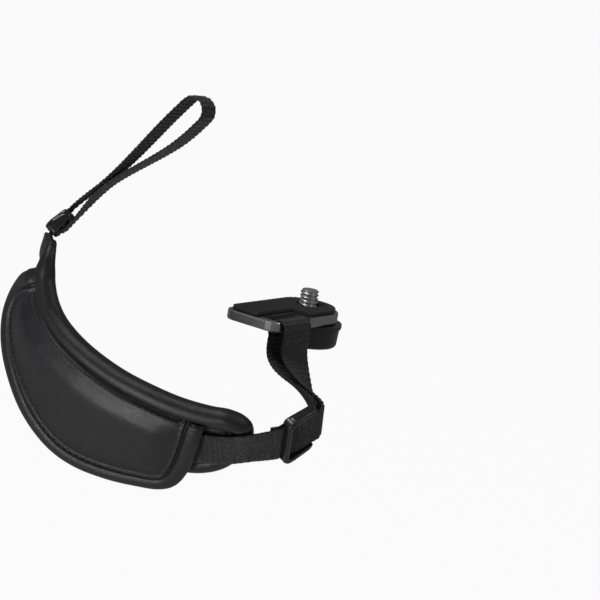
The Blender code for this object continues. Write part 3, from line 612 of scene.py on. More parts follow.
SEAM_RINGS = [2.8, 2.95, 3.1, 3.25, 3.4, 3.55, 3.75, 4.0, 4.3, 4.8, 5.4]
FLAP_GRID = 0.8
SEAM_POINTS = 420
SEAM_RING_POINTS = 240
COARSE = 6


def roll_half(s):
    return FLAP_RIM_THICK / 2 * np.sqrt(np.clip(1 - (s / FLAP_RIM_HALF) ** 2, 0, 1))


def below_seam(pattern):
    """Distance below the pad roll's middle, where the flap's left corner climbs on to the roll."""
    share = smooth_step((CORNER_CLIMB_FROM - pattern[:, 0]) / CORNER_CLIMB_LENGTH)
    return CORNER_CLIMB * share - signed_distance(pattern, KNUCKLE)


def flap_heights(pattern):
    """Distance from the flap's edge, and the heights of its outer face and underside."""
    s = signed_distance(pattern, FLAP_LINE)
    t = below_seam(pattern)
    roll = ROLL_MIDDLE + roll_half(s)
    panel = table(np.maximum(s, FLAP_GROOVE[0][0] * MM), FLAP_GROOVE)
    blend = smooth_step((s - ROLL_TO_PANEL) / ROLL_BLEND)
    top = roll * (1 - blend) + panel * blend
    from_seam = np.maximum(t, SEAM_PROFILE[0][0] * MM)
    corner = smooth_step((CORNER_DIP_FROM - pattern[:, 0]) / CORNER_DIP_LENGTH)
    seam = table(from_seam, SEAM_PROFILE) * (1 - corner)
    seam += table(from_seam, CORNER_DIP) * corner
    inside = smooth_step((s - PANEL_FROM) / PANEL_BLEND)
    rise = RIDGE_RISE * np.maximum(t - RIDGE_FOOT, 0)
    fall = RIDGE_TOP - RIDGE_FALL * (t - RIDGE_AT)
    ridge = -RIDGE_ROUND * np.log(np.exp(-rise / RIDGE_ROUND) + np.exp(-fall / RIDGE_ROUND)) * inside
    ridge = np.maximum(ridge, 0)
    top = top + ridge + ripple(pattern, FLAP_RIPPLE) * inside + seam
    bottom = np.where(s < 0, ROLL_MIDDLE - roll_half(s), FLAP_BOTTOM)
    bottom = np.minimum(bottom, top - FLAP_EDGE_THICK)
    bottom = np.where(s < -FLAP_RIM_HALF + 0.005 * MM, ROLL_MIDDLE, bottom)
    return s, top, bottom


def along_seam(offset, points):
    """A line at a distance below the pad roll's middle, climbing with the flap's left corner."""
    climb = below_seam(KNUCKLE)[:, None]
    return curve_through((KNUCKLE - side_directions(KNUCKLE) * (offset - climb))[::COARSE], points)


def build_flap():
    outer = FLAP_LINE - FLAP_SIDE * FLAP_RIM_HALF
    outer = outer[below_seam(outer) > SEAM_EDGE]
    seam = along_seam(SEAM_EDGE, SEAM_POINTS)
    seam = seam[signed_distance(seam, FLAP_LINE) > -FLAP_RIM_HALF + 0.1 * MM][::-1]
    outline = np.vstack([outer, seam])
    rings = []
    for offset in np.concatenate([FLAP_ROLL_RINGS, np.array(FLAP_RINGS) * MM]):
        ring = FLAP_LINE + FLAP_SIDE * offset
        true = signed_distance(ring, FLAP_LINE)
        rings.append(ring[np.abs(true - offset) < 0.03 * MM])
    rings = np.vstack(rings)
    rings = rings[below_seam(rings) > SEAM_EDGE + 0.12 * MM]
    seam_rings = []
    for offset in SEAM_RINGS:
        ring = along_seam(offset * MM, SEAM_RING_POINTS)
        seam_rings.append(ring[signed_distance(ring, FLAP_LINE) > FLAP_RINGS[-1] * MM + 0.1 * MM])
    grid = staggered_grid((-38, 48), (-52, 4), FLAP_GRID)
    from_edge = signed_distance(grid, FLAP_LINE) - FLAP_RINGS[-1] * MM
    from_seam = below_seam(grid) - SEAM_RINGS[-1] * MM
    grid = grid[(from_edge > FLAP_GRID / 2 * MM) & (from_seam > FLAP_GRID / 2 * MM)]
    inner = apart(np.vstack([rings, *seam_rings, grid]), outline, 0.09 * MM)
    inner = thinned(inner, 0.12 * MM)
    pattern, faces = filled_region(outline, inner)
    s, top, bottom = flap_heights(pattern)
    joined = s < -FLAP_RIM_HALF + 0.02 * MM
    under = s > 1.5 * MM
    obj = sheet_piece("leather_flap", pattern, faces, top, bottom, joined, [LEATHER, LINING], under)
    return settle(obj, "pad_leather", "flap_leather", "flap_lining", "flap_rim")


# The pad: its cushion between the rims, and the rolled rim itself.

CUSHION_TUCK = 0.6 * MM
CUSHION_TIP = -37.5 * MM
CUSHION_POINT_GAP = 0.5 * MM
CUSHION_RINGS = [-0.4, -0.1, 0.25, 0.6, 1.0, 1.5, 2.0, 2.4, 2.7, 2.95, 3.2, 3.5, 4.0, 4.8, 5.8]
CUSHION_GRID = 1.3
CUSHION_TOP = [(-1.0, -0.8), (0.0, -0.6), (0.8, 0.0), (2.2, 0.05), (2.75, -0.35), (3.15, 0.12), (4.2, 0.0),
               (99.0, 0.0)]
CUSHION_PALM = [(-1.0, 1.2), (0.0, 1.0), (1.6, 0.2), (5.0, -0.15), (12.0, -0.5), (99.0, -0.6)]
PALM_RIPPLE = 0.08 * MM
TONGUE_SAG = 1.9 * MM
TONGUE_SAG_LENGTH = 14.5 * MM
RIM_SIDES = 28
RIM_LOW_FROM = 58.5 * MM
RIM_LOW_LENGTH = 3.0 * MM
KNUCKLE_BAND = 6.0 * MM
KNUCKLE_BLEND = 3.0 * MM
TONGUE_SQUARE = 0.6
POCKET_SQUARE = 6.0


def build_cushion():
    inner = RIM_CURVE - RIM_SIDE * (PAD_RIM_HALF - CUSHION_TUCK)
    tip = int(np.argmax(RIM_CURVE[:, 0] > CUSHION_TIP))
    line = inner[tip:]
    keep = [line[0]]
    for p in line[1:]:
        if np.hypot(*(p - keep[-1])) > CUSHION_POINT_GAP:
            keep.append(p)
    outline = np.array(keep)[::-1]
    rings = []
    for offset in CUSHION_RINGS:
        ring = RIM_CURVE - RIM_SIDE * (PAD_RIM_HALF + (0.1 + offset) * MM)
        true = np.abs(signed_distance(ring, RIM_CURVE))
        rings.append(ring[true > PAD_RIM_HALF + (0.08 + offset) * MM])
    grid = staggered_grid((-40, 62), (-42, 5), CUSHION_GRID)
    d = -signed_distance(grid, RIM_CURVE)
    grid = grid[d > PAD_RIM_HALF + 6.3 * MM]
    inside = thinned(apart(np.vstack([*rings, grid]), outline, 0.15 * MM), 0.2 * MM)
    pattern, faces = filled_region(outline, inside)
    d = np.maximum(np.abs(signed_distance(pattern, RIM_CURVE)) - PAD_RIM_HALF, -0.9 * MM)
    top = COVER_TOP + table(d, CUSHION_TOP)
    bottom = PAD_BOTTOM + table(d, CUSHION_PALM) + ripple(pattern, PALM_RIPPLE)
    obj = sheet_piece("pad_cushion", pattern, faces, top, bottom, np.zeros(len(pattern), bool),
                      [LEATHER, LINING], np.ones(len(pattern), bool))
    return settle(obj, "pad_leather", "pad_cover", "pad_foam", "pad_lining")


def tongue_sag(along):
    """How far the tongue lies inside the solids' curve, so that it runs straight to its tip."""
    share = np.clip((along - KNUCKLE[0, 0]) / TONGUE_SAG_LENGTH, 0, 1)
    return TONGUE_SAG * np.sin(np.pi * share)


def towards_tip(length):
    return 1 - smooth_step((length - TONGUE_STRAIGHT) / TONGUE_TAPER)


def rim_section(point, out, half, top, bottom, square):
    """One closed ring round the rim. The higher the last number, the squarer the ring."""
    turn = 2 * np.pi * np.arange(RIM_SIDES) / RIM_SIDES
    side = np.sign(np.cos(turn)) * np.abs(np.cos(turn)) ** (1 / square)
    high = np.sign(np.sin(turn)) * np.abs(np.sin(turn)) ** (1 / square)
    pattern = point + out * (half * side)[:, None]
    return wrap(pattern, (top + bottom) / 2 + (top - bottom) / 2 * high)


def pocket_rings():
    """The pocket's inside, from its end out to the tongue's tip."""
    count = int(np.sum(KNUCKLE[:, 0] < KNUCKLE[0, 0] + TONGUE_POCKET))
    half = UPPER_WEB_WIDTH / 2 + POCKET_PLAY
    thick = WEB_THICK / 2 + POCKET_PLAY
    rings = []
    for point, out in zip(RIM_CURVE[:count][::-1], RIM_SIDE[:count][::-1]):
        middle = WEB_MIDDLE - tongue_sag(point[0])
        rings.append(rim_section(point, out, half, middle + thick, middle - thick, POCKET_SQUARE))
    return rings


def build_rim():
    tip = KNUCKLE[0, 0]
    rings = pocket_rings()
    for k, (point, out) in enumerate(zip(RIM_CURVE, RIM_SIDE)):
        upper = float(smooth_step((point[1] - knuckle_line(point[0]) + KNUCKLE_BAND) / KNUCKLE_BLEND))
        right = float(smooth_step((RIM_LOW_FROM - point[0]) / RIM_LOW_LENGTH))
        share = float(towards_tip(point[0] - tip)) if upper > 0.5 else 0.0
        top = COVER_TOP + (PAD_RIM_PROUD - COVER_TOP) * right * upper
        top += (WEB_MIDDLE + TONGUE_HALF_THICK - top) * share
        bottom = PAD_BOTTOM + (WEB_MIDDLE - TONGUE_HALF_THICK - PAD_BOTTOM) * share
        half = PAD_RIM_HALF
        if upper >= 0.5:
            top -= tongue_sag(point[0])
            bottom -= tongue_sag(point[0]) * share
            part = min(max((point[0] - tip) / (TONGUE_STRAIGHT + TONGUE_TAPER), 0.0), 1.0)
            half += (TONGUE_HALF_WIDTH - PAD_RIM_HALF) * share
            point = point + out * TONGUE_BELLY * math.sin(math.pi * part) ** 2
        if k == 0:
            rings.append(rim_section(point, out, half - 0.35 * MM, top - 0.3 * MM, bottom + 0.3 * MM, 1.6))
            rings.append(rim_section(point + (RIM_CURVE[1] - point) * 0.3, out, half - 0.1 * MM,
                                     top - 0.08 * MM, bottom + 0.08 * MM, 1.6))
            continue
        rings.append(rim_section(point, out, half, top, bottom, 1 + TONGUE_SQUARE * share * upper))
    obj = add_mesh("pad_roll", np.vstack(rings), tube_faces(len(rings), RIM_SIDES), [ROLL_LEATHER])
    return settle(obj, "rim_leather", "pad_rim")


# Stitches: short raised threads that dip into the leather at both ends.
# The profile gives each ring's share of the length, its lift and its size.

STITCH_PROFILE = [(-0.5, -0.5, 0.4), (-0.42, 0.1, 0.85), (-0.2, 0.42, 1.0), (0.2, 0.42, 1.0),
                  (0.42, 0.1, 0.85), (0.5, -0.5, 0.4)]
STITCH_SIDES = 6
EDGE_STITCH_AT = 3.8 * MM
SEAM_STITCH_AT = 3.62 * MM
COVER_STITCH_AT = 3.2 * MM
SEAM_STITCH_POINTS = 300
COVER_STITCH_FROM = 46 * MM


def stitches(name, line, heights_along, pitch, length, thick):
    run = running_length(line)
    nudge = 0.1 * MM
    verts = []
    faces = []
    for at in np.arange(pitch, run[-1] - pitch, pitch):
        ring_start = len(verts)
        for share, lift, size in STITCH_PROFILE:
            where = at + share * length
            centre = np.array([np.interp(where, run, line[:, 0]), np.interp(where, run, line[:, 1])])
            high = float(np.interp(where, run, heights_along)) + lift * thick
            ahead = np.array([np.interp(where + nudge, run, line[:, k])
                              - np.interp(where - nudge, run, line[:, k]) for k in range(2)])
            ahead /= np.linalg.norm(ahead)
            across = np.array([-ahead[1], ahead[0]])
            for k in range(STITCH_SIDES):
                turn = 2 * math.pi * k / STITCH_SIDES
                pattern = centre + across * (0.5 * thick * size * math.cos(turn))
                verts.append(wrap(pattern, high + 0.5 * thick * size * math.sin(turn))[0])
        faces += [tuple(i + ring_start for i in f) for f in tube_faces(len(STITCH_PROFILE), STITCH_SIDES)]
    return settle(add_mesh(name, verts, faces, [THREAD]), "pad_leather")


def build_stitches():
    line = FLAP_LINE + FLAP_SIDE * EDGE_STITCH_AT
    keep = (np.abs(signed_distance(line, FLAP_LINE) - EDGE_STITCH_AT) < 0.05 * MM) & \
           (below_seam(line) > 3.9 * MM)
    line = line[keep]
    stitches("flap_edge_stitches", line, flap_heights(line)[1], 2.3 * MM, 1.9 * MM, 0.34 * MM)
    seam = along_seam(SEAM_STITCH_AT, SEAM_STITCH_POINTS)
    seam = seam[signed_distance(seam, FLAP_LINE) > 4.2 * MM]
    stitches("flap_seam_stitches", seam, flap_heights(seam)[1], 2.1 * MM, 1.75 * MM, 0.34 * MM)
    inner = RIM_CURVE - RIM_SIDE * (PAD_RIM_HALF + COVER_STITCH_AT)
    part = inner[RIM_CURVE[:, 0] > COVER_STITCH_FROM]
    off = np.abs(signed_distance(part, RIM_CURVE)) - PAD_RIM_HALF - COVER_STITCH_AT
    part = part[np.abs(off) < 0.05 * MM]
    stitches("cover_stitches", part, np.full(len(part), COVER_TOP + 0.1 * MM), 2.0 * MM, 1.6 * MM, 0.3 * MM)


# Webbing.

FREE_RUN_STATIONS = 8
FREE_RUN_START_PULL = 0.45
FREE_RUN_END_PULL = 0.9
WIDTH_WEIGHT = 10 * MM
PATH_STEP = 1.6 * MM
TURN_STATIONS = 9
RIB_STATIONS = 5
COLUMN_WIDTH = 0.31 * MM
SELVEDGE = 0.9 * MM
SELVEDGE_SWAY = 0.06 * MM


def slider_levels():
    half = WEB_THICK / 2
    bars_top = SLIDER_WEB_RISE - half - GAP
    bars_bottom = bars_top - SLIDER_BAR_HEIGHT
    return {"front_bottom": half + GAP, "front_top": half + GAP + SLIDER_FRONT_HEIGHT, "bars_top": bars_top,
            "bars_bottom": bars_bottom, "over": SLIDER_WEB_RISE, "under": bars_bottom - GAP - half,
            "return": -(WEB_THICK + GAP)}


def slider_frame(spot, run, width):
    run = unit(run)
    width = unit(width - run * (width @ run))
    return spot, run, width, np.cross(run, width)


def slider_stations(spot, run, length):
    level = slider_levels()
    half = length / 2
    rows = [(-half - SLIDER_RUN_IN, 0.0, level["return"]), (-half, 0.0, level["return"]),
            (-half + SLIDER_BAR, 0.0, level["return"]),
            (-SLIDER_MIDDLE_BAR / 2, level["over"], level["under"]), (half, level["over"], level["under"]),
            (half + SLIDER_RUN_IN, level["over"], level["under"])]
    return [(spot + run * at, high, low) for at, high, low in rows]


def free_run(start, start_run, end, end_run):
    """Points of a smooth curve from a place and direction to another."""
    reach = np.linalg.norm(end - start)
    a = start_run * reach * FREE_RUN_START_PULL
    b = end_run * reach * FREE_RUN_END_PULL
    return [(2 * u ** 3 - 3 * u ** 2 + 1) * start + (u ** 3 - 2 * u ** 2 + u) * a
            + (3 * u ** 2 - 2 * u ** 3) * end + (u ** 3 - u ** 2) * b
            for u in np.linspace(0, 1, FREE_RUN_STATIONS + 1)[1:]]


def square_to(run, width):
    """Unit width directions at right angles to the run."""
    width = width - run * np.sum(width * run, axis=1)[:, None]
    return width / np.linalg.norm(width, axis=1)[:, None]


def run_of(points):
    run = np.gradient(points, axis=0)
    return run / np.linalg.norm(run, axis=1)[:, None]


def webbing_path(places, widths, frame, length, bar, bar_run, bar_width, straight, reach, tail_length):
    """Middle line and width directions of the folded webbing, as the solid has them."""
    level = slider_levels()
    run_in = -length / 2 - SLIDER_RUN_IN - WEB_THICK
    rows = [(p, w, 0.0, level["return"]) for p, w in zip(places, widths)
            if (p - frame[0]) @ frame[1] < run_in]
    rows += [(p, frame[2], a, b) for p, a, b in slider_stations(frame[0], frame[1], length)]
    foot = bar - bar_run * (straight + reach)
    near = (WEB_THICK + GAP) / 2
    for k, point in enumerate(free_run(rows[-1][0], frame[1], foot, bar_run)):
        u = (k + 1) / FREE_RUN_STATIONS
        turn = float(smooth_step(u))
        settled = float(smooth_step(u / 0.4))
        part = near + (reach - near) * float(smooth_step((u - 0.35) / 0.65))
        rows.append((point, unit(frame[2] * (1 - turn) + bar_width * turn),
                     level["over"] * (1 - settled) + part * settled,
                     level["under"] * (1 - settled) - part * settled))
    rows.append((bar, bar_width, reach, -reach))
    rows = np.array([np.concatenate([p, w * WIDTH_WEIGHT, [a, b]]) for p, w, a, b in rows])
    fine = curve_through(rows, int(running_length(rows[:, :3])[-1] / PATH_STEP))
    place_at = fine[:, :3]
    run = run_of(place_at)
    width = square_to(run, fine[:, 3:6])
    normal = np.cross(run, width)
    outward = place_at + normal * fine[:, 6:7]
    back = place_at + normal * fine[:, 7:8]
    tail_from = frame[0] - frame[1] * (length / 2 + tail_length)
    tail = int(np.argmin(np.linalg.norm(place_at - tail_from, axis=1)))
    turn_normal = np.cross(bar_run, bar_width)
    turns = [bar + turn_normal * reach * math.cos(turn) + bar_run * reach * math.sin(turn)
             for turn in np.linspace(0, math.pi, TURN_STATIONS)[1:-1]]
    centre = np.vstack([outward, turns, back[tail:][::-1]])
    return centre, np.vstack([width, [bar_width] * len(turns), width[tail:][::-1]])


def build_strip(name, centre, width, web_width, replaced):
    """Webbing as a fine ribbed strip: raised ribs across it, a tight selvedge at each edge."""
    step = RIB_PITCH * MM / RIB_STATIONS
    steps = int(running_length(centre)[-1] / step)
    fine = curve_through(np.hstack([centre, width * WIDTH_WEIGHT]), steps)
    centre = fine[:, :3]
    run = run_of(centre)
    reach = int(TWIST_SMOOTH / step)
    held = np.pad(fine[:, 3:6], ((reach, reach), (0, 0)), mode="edge")
    window = np.hanning(2 * reach + 1)
    even = np.stack([np.convolve(held[:, k], window / window.sum(), "valid") for k in range(3)], 1)
    width = square_to(run, even)
    face = np.cross(run, width)
    columns = int(web_width / COLUMN_WIDTH)
    half = web_width / 2
    v = np.linspace(-half, half, columns)
    distance = running_length(centre) / MM
    ring_v = np.concatenate([v, v[::-1]])
    upper = np.concatenate([np.ones(columns), -np.ones(columns)])
    edge = np.clip((half - np.abs(ring_v)) / SELVEDGE, 0, 1)
    round_edge = np.sqrt(np.clip(1 - (1 - edge) ** 2, 0, 1))
    rings = []
    for k in range(len(centre)):
        rib = 0.5 - 0.5 * np.cos(2 * np.pi * (distance[k] / RIB_PITCH + 0.5 * (upper < 0)))
        over_under = np.pi * int(distance[k] / RIB_PITCH)
        weft = 0.8 + 0.2 * np.cos(2 * np.pi * ring_v / MM / (2 * WARP_PITCH) + over_under)
        high = (WEB_THICK / 2 - RIB_HEIGHT * 0.7) * (0.35 + 0.65 * round_edge)
        high += RIB_HEIGHT * rib * weft * round_edge
        sway = SELVEDGE_SWAY * math.sin(distance[k] * 2 * math.pi / RIB_PITCH)
        across = ring_v + np.sign(ring_v) * sway * (edge < 0.3)
        rings.append(centre[k] + width[k] * across[:, None] + face[k] * (high * upper)[:, None])
    sides = 2 * columns
    obj = add_mesh(name, np.vstack(rings), tube_faces(len(rings), sides), [WEBBING])
    uv = obj.data.uv_layers.new(name="strip")
    index = np.empty(len(obj.data.loops), int)
    obj.data.loops.foreach_get("vertex_index", index)
    flat = np.stack([distance[index // sides], ring_v[index % sides] / MM], 1)
    uv.data.foreach_set("uv", flat.ravel())
    return settle(obj, "webbing", replaced)


SLIDER_CORNER_SHARE = 0.42
SLIDER_CROWN = 0.9 * MM
SLIDER_SLICES = 10
BAR_SIDES = 16
BAR_SQUARE = 0.7
BAR_INTO_WALL = 0.8 * MM
FRONT_INTO_WALL = 0.3 * MM
MELT_SMOOTHING = 9


def arc_drop(beyond, radius):
    """How far a rounded edge has fallen away, at a place beyond the edge's full width."""
    reach = max(beyond + radius, 0.0)
    return radius - math.sqrt(max(radius ** 2 - reach ** 2, 0.0))


def rounded(share):
    return math.copysign(abs(share) ** BAR_SQUARE, share)


def side_wall(half, beyond, level):
    """Profile of a slice of the slider's side wall, with eased corners, as (along, height)."""
    x = half - arc_drop(beyond, SLIDER_CORNER_SHARE * half)
    crown = arc_drop(beyond, SLIDER_CROWN)
    low = level["bars_bottom"] + crown
    top = level["front_top"] - crown
    far = top - SLIDER_TAPER
    return [(-x, low + 0.4 * MM), (0.4 * MM - x, low), (x - 0.8 * MM, low), (x, low + 0.8 * MM),
            (x, far - 1.1 * MM), (x - 0.3 * MM, far - 0.35 * MM), (x - 1.1 * MM, far),
            (-half * SLIDER_KNEE_SHARE, top), (0.9 * MM - x, top), (0.25 * MM - x, top - 0.3 * MM),
            (-x, top - 0.9 * MM)]


def build_slider(name, frame, length, web_width, replaced, voxel):
    """A moulded three-bar slider: bars and side walls melted into one rounded body."""
    spot, run, width, normal = frame
    level = slider_levels()
    inner = web_width / 2 + SLIDER_SIDE_PLAY
    outer = inner + SLIDER_WALL
    half = length / 2
    verts = []
    faces = []

    def block(profile, y0, y1):
        start = len(verts)
        n = len(profile)
        verts.extend([(x, y0, z) for x, z in profile] + [(x, y1, z) for x, z in profile])
        faces.append(tuple(start + k for k in range(n)))
        faces.append(tuple(start + n + k for k in reversed(range(n))))
        for k in range(n):
            m = (k + 1) % n
            faces.append((start + k, start + n + k, start + n + m, start + m))

    cuts = np.linspace(inner, outer, SLIDER_SLICES + 1)
    for y0, y1 in zip(cuts[:-1], cuts[1:]):
        for side in (-1, 1):
            block(side_wall(half, y1 - outer, level), side * y0, side * y1)
    bar_middle = (level["front_bottom"] + level["front_top"]) / 2
    front = [(-half + SLIDER_BAR / 2 * (1 + rounded(math.cos(a))),
              bar_middle + SLIDER_FRONT_HEIGHT / 2 * rounded(math.sin(a)))
             for a in np.linspace(0, 2 * np.pi, BAR_SIDES + 1)[:-1]]
    block(front, -inner - FRONT_INTO_WALL, inner + FRONT_INTO_WALL)
    over = inner + BAR_INTO_WALL
    middle = SLIDER_MIDDLE_BAR / 2
    for x0, x1 in ((-middle, middle), (half - SLIDER_BAR, half)):
        block([(x0, level["bars_bottom"]), (x1, level["bars_bottom"]), (x1, level["bars_top"]),
               (x0, level["bars_top"])], -over, over)
    obj = add_mesh(name, verts, faces, [PLASTIC])
    melt = obj.modifiers.new("melt", "REMESH")
    melt.mode = "VOXEL"
    melt.voxel_size = voxel
    melt.use_smooth_shade = True
    soft = obj.modifiers.new("soften", "SMOOTH")
    soft.factor = 0.5
    soft.iterations = MELT_SMOOTHING
    obj.matrix_world = Matrix([(*[run[k], width[k], normal[k], spot[k]],) for k in range(3)] + [(0, 0, 0, 1)])
    return settle(obj, "black_plastic", replaced)


def laid_widths(line, side):
    """Width directions of a strip that lies on the loop along a pattern line."""
    return [unit(w) for w in wrap(line + side * MM, WEB_MIDDLE) - wrap(line - side * MM, WEB_MIDDLE)]


def build_lower():
    frame = slider_frame(LOWER_SLIDER_PLACE, LOWER_SLIDER_RUN, LOWER_SLIDER_WIDTH)
    route = curve_through(np.array(LOWER_WEB_ROUTE) * MM, 2 * len(LOWER_WEB_ROUTE))
    centre, width = webbing_path(wrap(route, WEB_MIDDLE), laid_widths(route, side_directions(route)), frame,
                                 LOWER_SLIDER_LENGTH, PLATE_BAR, np.array([0.0, 0.0, 1.0]),
                                 np.array([-1.0, 0.0, 0.0]), PLATE_THICK, PLATE_BAR_REACH, WEB_TAIL)
    build_strip("lower_strip", centre, width, LOWER_WEB_WIDTH, "lower_webbing")
    build_slider("lower_buckle", frame, LOWER_SLIDER_LENGTH, LOWER_WEB_WIDTH, "lower_slider", 0.16 * MM)


def build_upper():
    count = int(np.sum(KNUCKLE[:, 0] < KNUCKLE[0, 0] + TONGUE_POCKET - TONGUE_WEB_SHORT))
    line = RIM_CURVE[:count][::-1]
    places = wrap(line, WEB_MIDDLE)
    widths = laid_widths(line, RIM_SIDE[:count][::-1])
    tip = places[-1]
    across = widths[-1]
    run = unit(tip - places[-2])
    outward = unit(np.cross(across, run))
    outward = outward if outward @ (tip - LOOP_CENTRE) > 0 else -outward
    run = run * math.cos(UPPER_SLIDER_TILT) - outward * math.sin(UPPER_SLIDER_TILT)
    spot = tip + run * (UPPER_SLIDER_GAP + UPPER_SLIDER_LENGTH / 2)
    frame = slider_frame(spot, run, across)
    if frame[3] @ (tip - LOOP_CENTRE) < 0:
        frame = slider_frame(spot, run, -across)
    widths = [w if w @ frame[2] > 0 else -w for w in widths]
    places = wrap(line, WEB_MIDDLE - tongue_sag(line[:, 0]))
    bar_run = unit(RING_LOOP_RUN)
    across = unit(RING_LOOP_WIDTH - bar_run * (RING_LOOP_WIDTH @ bar_run))
    across = across if across @ frame[2] > 0 else -across
    centre, width = webbing_path(places, widths, frame, UPPER_SLIDER_LENGTH, RING_LOOP, bar_run, across,
                                 RING_LOOP_STRAIGHT, (RING_LOOP_GAP + WEB_THICK) / 2, 0.0)
    build_strip("upper_strip", centre, width, UPPER_WEB_WIDTH, "upper_webbing")
    build_slider("upper_buckle", frame, UPPER_SLIDER_LENGTH, UPPER_WEB_WIDTH, "upper_slider", 0.14 * MM)


# Screw, plate and seat. The knob's profile holds (radius, height, fluted) in millimetres.

SCREW_SIDES = 72
THREAD_STATIONS = 90
THREAD_FADE = 0.5 * MM
THREAD_TIP = 0.65 * MM
NECK_PROFILE = [(2.3, NECK_TOP / MM), (2.3, -3.0), (3.1, -3.0), (3.1, KNOB_TOP / MM + 0.01)]
FLUTES = 48
FLUTE_DEPTH = 0.28
KNOB_EDGE = 1.4
KNOB_PROFILE = [(11.9, -4.9, 0), (12.2, -5.0, 0), (12.3, -5.2, 1), (12.3, -6.2, 1), (12.2, -6.4, 0),
                (11.9, -6.5, 0), (11.75, -6.55, 0), (11.72, -6.9, 0), (11.6, -9.0, 0), (11.5, -11.3, 0)]
KNOB_PROFILE += [(10.1 + KNOB_EDGE * math.cos(a), -11.5 - KNOB_EDGE * math.sin(a), 0)
                 for a in np.linspace(0.1, math.pi / 2, 7)]
KNOB_PROFILE += [(9.2, -12.9, 0), (9.0, -12.75, 0), (8.9, -12.72, 0), (0.0, -12.72, 0)]
STEEL_ABOVE = NECK_TOP - 1.7 * MM
COIN_SLOT = (15 * MM, 2 * MM, 4 * MM)
COIN_SLOT_MIDDLE = -13.3 * MM
SHARP_ANGLE = 32
GRIP_PITCH = 1.7 * MM
GRIP_GROOVE = (0.6 * MM, 40 * MM, 0.7 * MM)
GRIP_FROM_LOW = 1.6 * MM
GRIP_FROM_HIGH = 1.0 * MM


def cut_away(obj, places, size):
    """Cuts boxes of one size out of a piece."""
    bm = bmesh.new()
    for spot in places:
        bmesh.ops.create_cube(bm, size=1.0, matrix=Matrix.Translation(spot) @ Matrix.Diagonal((*size, 1)))
    tool = bpy.data.objects.new("cutter", bpy.data.meshes.new("cutter"))
    bpy.context.collection.objects.link(tool)
    bm.to_mesh(tool.data)
    bm.free()
    cut = obj.modifiers.new("cut", "BOOLEAN")
    cut.operation = "DIFFERENCE"
    cut.solver = "EXACT"
    cut.object = tool
    result = bpy.data.meshes.new_from_object(obj.evaluated_get(bpy.context.evaluated_depsgraph_get()))
    obj.modifiers.clear()
    obj.data = result
    bpy.data.objects.remove(tool, do_unlink=True)


def build_screw():
    turn = 2 * np.pi * np.arange(SCREW_SIDES) / SCREW_SIDES

    def ring(radius, z):
        return np.stack([radius * np.cos(turn), radius * np.sin(turn), np.full(SCREW_SIDES, z)], 1)

    rings = [ring(0.0, SCREW_TOP)]
    for z in np.linspace(SCREW_TOP, NECK_TOP, THREAD_STATIONS):
        phase = (z / THREAD_PITCH + turn / (2 * np.pi)) % 1.0
        cut = THREAD_DEPTH * np.clip(1.25 * np.abs(2 * phase - 1) - 0.12, 0, 1)
        fade = min(1.0, max(0.0, (SCREW_TOP - z) / THREAD_FADE))
        rings.append(ring(np.minimum(THREAD_R - cut, THREAD_R - THREAD_TIP * (1 - fade)), z))
    rings += [ring(radius * MM, z * MM) for radius, z in NECK_PROFILE]
    flute = np.abs(np.sin(FLUTES / 2 * turn)) ** 0.7
    rings += [ring((radius - FLUTE_DEPTH * fluted * (1 - flute)) * MM, z * MM)
              for radius, z, fluted in KNOB_PROFILE]
    faces = tube_faces(len(rings), SCREW_SIDES, capped=False)
    obj = add_mesh("screw_knob", np.vstack(rings), faces, [KNOB_METAL, STEEL], sharp=SHARP_ANGLE)
    bm = bmesh.new()
    bm.from_mesh(obj.data)
    bmesh.ops.remove_doubles(bm, verts=bm.verts, dist=1e-7)
    bmesh.ops.recalc_face_normals(bm, faces=bm.faces)
    for face in bm.faces:
        if face.calc_center_median().z > STEEL_ABOVE:
            face.material_index = 1
    bm.to_mesh(obj.data)
    bm.free()
    cut_away(obj, [(0, 0, COIN_SLOT_MIDDLE)], COIN_SLOT)
    obj.data.set_sharp_from_angle(angle=math.radians(SHARP_ANGLE))
    obj.location = (SCREW_X, 0, 0)
    bpy.context.view_layer.update()
    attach(obj, "screw")
    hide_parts("tripod_screw")


def build_seat():
    """The seat pad with grip grooves cut in its top."""
    seat = NODES["seat_pad"]
    obj = bpy.data.objects.new("seat_grip", seat.data.copy())
    bpy.context.collection.objects.link(obj)
    obj.matrix_world = seat.matrix_world.copy()
    obj.data.materials.clear()
    obj.data.materials.append(RUBBER)
    low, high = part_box("seat_pad")
    grooves = [(x, 0, 0) for x in np.arange(low[0] + GRIP_FROM_LOW, high[0] - GRIP_FROM_HIGH, GRIP_PITCH)]
    cut_away(obj, grooves, GRIP_GROOVE)
    settle(obj, "seat_rubber", "seat_pad")


def dress(node, mat):
    slots = NODES[node].material_slots
    if not slots:
        NODES[node].data.materials.append(mat)
    for slot in slots:
        slot.material = mat


# Stage, light and camera.

FLOOR_DROP = 140.0 * MM
FLOOR_HALF = 6.0
FLOOR_SEEN = 0.95
FLOOR_MIRRORED = 0.1
WORLD_STRENGTH = 0.17


